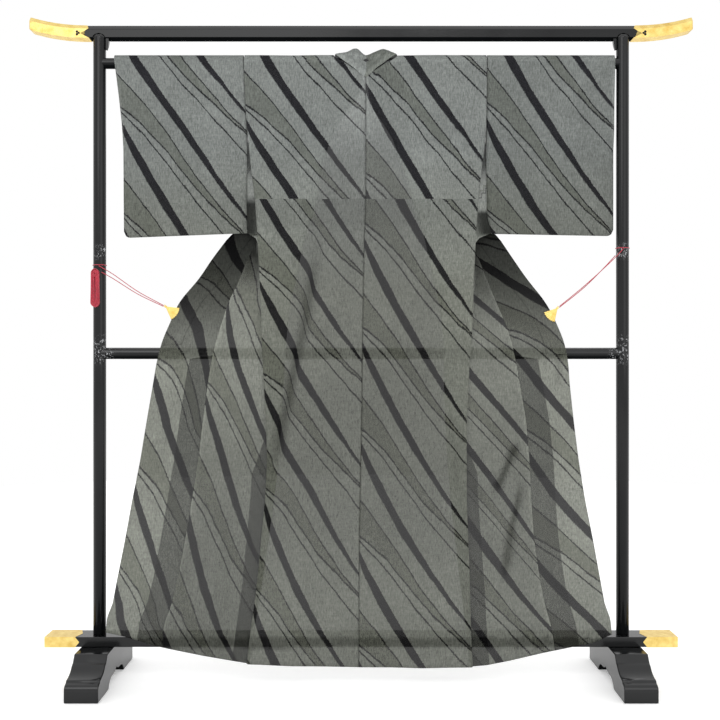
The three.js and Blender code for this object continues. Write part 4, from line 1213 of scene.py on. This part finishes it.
class KIMONO_OT_fittings(bpy.types.Operator):
    """Makes the gilt caps of the top bar and the base rail, and the fan-shaped clips"""

    bl_idname = "kimono.fittings"
    bl_label = "Gilt fittings"

    def execute(self, context):
        gilt = gilt_finish("gilt")
        pierced = gilt_finish("gilt_pierced", hearts=True)
        bar = TOP_BAR
        z0, y0, deep = bar["z0"], bar["y0"], bar["depth"]
        top = section_points([(y0, z0), (y0 + deep, z0), (y0 + deep, z0 + 23), (y0 + deep - 9, z0 + 35),
                              (y0 + 9, z0 + 35), (y0, z0 + 23)], 10)
        dart = np.clip(1 - np.abs(top[:, 1] - (z0 + 12)) / 12, 0, 1)
        top_inner = 734 + 24 * dart + np.clip(top[:, 1] - (z0 + 23), 0, 12) * 0.5
        rail = BASE_RAIL
        half = rail["depth"] / 2
        low = section_points([(-half, rail["z0"]), (half, rail["z0"]), (half, rail["z1"]),
                              (-half, rail["z1"])], 14)
        middle_z = (rail["z0"] + rail["z1"]) / 2
        on_face = np.abs(low[:, 0]) > half - 0.01
        bulge = np.where(on_face, 1 - np.abs(low[:, 1] - middle_z) / 13.4, 1 - np.abs(low[:, 0]) / half)
        low_inner = 764 - 11 * np.clip(bulge, 0, 1)
        for name, side in (("left", -1), ("right", 1)):
            finished(sheath(f"gilt_top_cap_{name}", top, top_inner, bar["tip"], bar["lift"], side, 0.6,
                            pierced), "gilt", f"top_cap_{name}")
            finished(sheath(f"gilt_base_cap_{name}", low, low_inner, rail["tip"], 0, side, 0.5, gilt),
                     "gilt", f"base_cap_{name}")
            finished(self.clip(f"gilt_clip_{name}", CLIPS[name], gilt), "gilt", f"clip_{name}")
        return {"FINISHED"}

    def clip(self, name, place, finish):
        """Two fan leaves with radial ribs, joined at a barrel by the fan's point. A leaf's height is
        the ripple of its angle, and its outer edge is scalloped by the same ripple."""
        x0, y0, z0, turn = place
        angle = np.linspace(-0.52, 0.52, 57)[None, :]
        reach = np.linspace(0.06, 1, 16)[:, None]
        ribs = np.abs(np.sin(angle * math.pi * 7 / 1.04 + math.pi / 2))
        radius = reach * (39 - 1.6 * ribs)
        parts = []
        for face in (-1, 1):
            outer = face * (3.0 + 0.9 * ribs * reach)
            inner = face * (2.1 + 0 * ribs * reach)
            layers = []
            for level in (outer, inner):
                across = radius * np.cos(angle)
                up = radius * np.sin(angle)
                layers.append(np.stack([across, level + 0 * across, up], axis=-1))
            rows, columns = layers[0].shape[:2]
            points = np.concatenate([layer.reshape(-1, 3) for layer in layers])
            faces = grid_faces(rows, columns).tolist()
            faces += (grid_faces(rows, columns)[:, ::-1] + rows * columns).tolist()
            rim = np.concatenate([np.arange(columns), np.arange(1, rows) * columns + columns - 1,
                                  (rows - 1) * columns + np.arange(columns - 2, -1, -1),
                                  np.arange(rows - 2, 0, -1) * columns])
            after = np.roll(rim, -1)
            faces += np.stack([rim, rim + rows * columns, after + rows * columns, after], axis=1).tolist()
            parts.append((points, faces))
        barrel = np.stack([np.full(12, 1.1), np.linspace(-3.6, 3.6, 12), np.zeros(12)], axis=-1)
        parts.append(tube(barrel, 3.1, 16, False))
        ring_angle = np.linspace(0, 2 * np.pi, 24, endpoint=False)
        ring = np.stack([-2.4 + 2.6 * np.cos(ring_angle), 0 * ring_angle, 2.6 * np.sin(ring_angle)], axis=-1)
        parts.append(tube(ring, 0.8, 8, True))
        cos, sin = math.cos(turn), math.sin(turn)
        placed = []
        for points, faces in parts:
            points = np.asarray(points)
            px = x0 + points[:, 0] * cos - points[:, 2] * sin
            pz = z0 + points[:, 0] * sin + points[:, 2] * cos
            placed.append((np.stack([px, y0 + points[:, 1], pz], axis=-1), faces))
        made = joined(name, placed, finish)
        made.data.set_sharp_from_angle(angle=math.radians(40))
        return made


class KIMONO_OT_cords(bpy.types.Operator):
    """Finishes the crimson cords and winds the spare cord into its hank"""

    bl_idname = "kimono.cords"
    bl_label = "Cords"

    def execute(self, context):
        silk = cord_finish("crimson_silk")
        for node in ("cord_left_upper", "cord_left_lower", "cord_right_upper", "cord_right_lower",
                     "cord_wrap_left", "cord_wrap_right"):
            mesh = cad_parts[node].data
            mesh.materials.clear()
            mesh.materials.append(silk)
        finished(self.hank(context.scene.kimono_stand.strand / MM, silk), "cord", "cord_hank")
        return {"FINISHED"}

    def hank(self, strand, silk):
        """Long loops of cord side by side, each two half circles joined by two runs that bow a
        little, with three turns of the same cord round their upper end."""
        chance = np.random.default_rng(7)
        parts = []
        angle = np.linspace(0, 2 * np.pi, 72, endpoint=False)
        middle = (HANK["top"] + HANK["foot"]) / 2
        length = (HANK["top"] - HANK["foot"]) / 2
        for layer in range(HANK_LAYERS):
            for number in range(HANK_LOOPS):
                wide = 1.8 + 2.05 * number
                x = HANK["x"] + wide * np.clip(np.cos(angle) * 1.6, -1, 1)
                ends = np.sign(np.sin(angle)) * np.abs(np.sin(angle)) ** 0.75
                z = middle + (length + wide * 0.85) * ends + chance.uniform(-1.2, 1.2)
                bow = 0.5 * np.sin(angle * 2 + chance.uniform(0, 6))
                y = HANK["y"] + 3.5 * (layer - 1) + bow + 0 * z
                parts.append(tube(np.stack([x + bow, y, z], axis=-1), strand, 8, True))
        for number in range(HANK_TURNS):
            z = HANK["top"] - 6 - 2.3 * number
            x = HANK["x"] + 10.6 * np.cos(angle)
            y = HANK["y"] + 5.1 * np.sin(angle)
            parts.append(tube(np.stack([x, y, z + 0.6 * np.sin(angle)], axis=-1), strand * 0.9, 8, True))
        return joined("cord_hank_wound", parts, silk)


class KIMONO_PT_panel(bpy.types.Panel):
    """Lists the pieces in the order they are made"""

    bl_idname = "KIMONO_PT_panel"
    bl_label = "Kimono"
    bl_space_type = "VIEW_3D"
    bl_region_type = "UI"
    bl_category = "Kimono"

    def draw(self, context):
        scene = context.scene
        for settings, names in (
            (scene.kimono_studio, ("surround", "key")),
            (scene.kimono_cloth, ("plain", "banded", "dark", "wall", "sheer")),
            (scene.kimono_stand, ("edge", "strand")),
        ):
            for name in names:
                self.layout.prop(settings, name)
        for made in OPERATORS:
            self.layout.operator(made.bl_idname)


SETTINGS = {
    "kimono_cloth": ClothSettings,
    "kimono_stand": StandSettings,
    "kimono_studio": StudioSettings,
}
OPERATORS = (KIMONO_OT_stage, KIMONO_OT_stand, KIMONO_OT_cloth, KIMONO_OT_fittings, KIMONO_OT_cords)


def register():
    for made in (*SETTINGS.values(), *OPERATORS, KIMONO_PT_panel):
        bpy.utils.register_class(made)
    for name, made in SETTINGS.items():
        setattr(bpy.types.Scene, name, bpy.props.PointerProperty(type=made))


def unregister():
    for name in SETTINGS:
        delattr(bpy.types.Scene, name)
    for made in reversed((*SETTINGS.values(), *OPERATORS, KIMONO_PT_panel)):
        bpy.utils.unregister_class(made)


def main():
    register()
    bpy.ops.kimono.stage()
    bpy.ops.kimono.stand()
    bpy.ops.kimono.cloth()
    bpy.ops.kimono.fittings()
    bpy.ops.kimono.cords()
    bpy.context.view_layer.update()


if __name__ == "__main__":
    main()
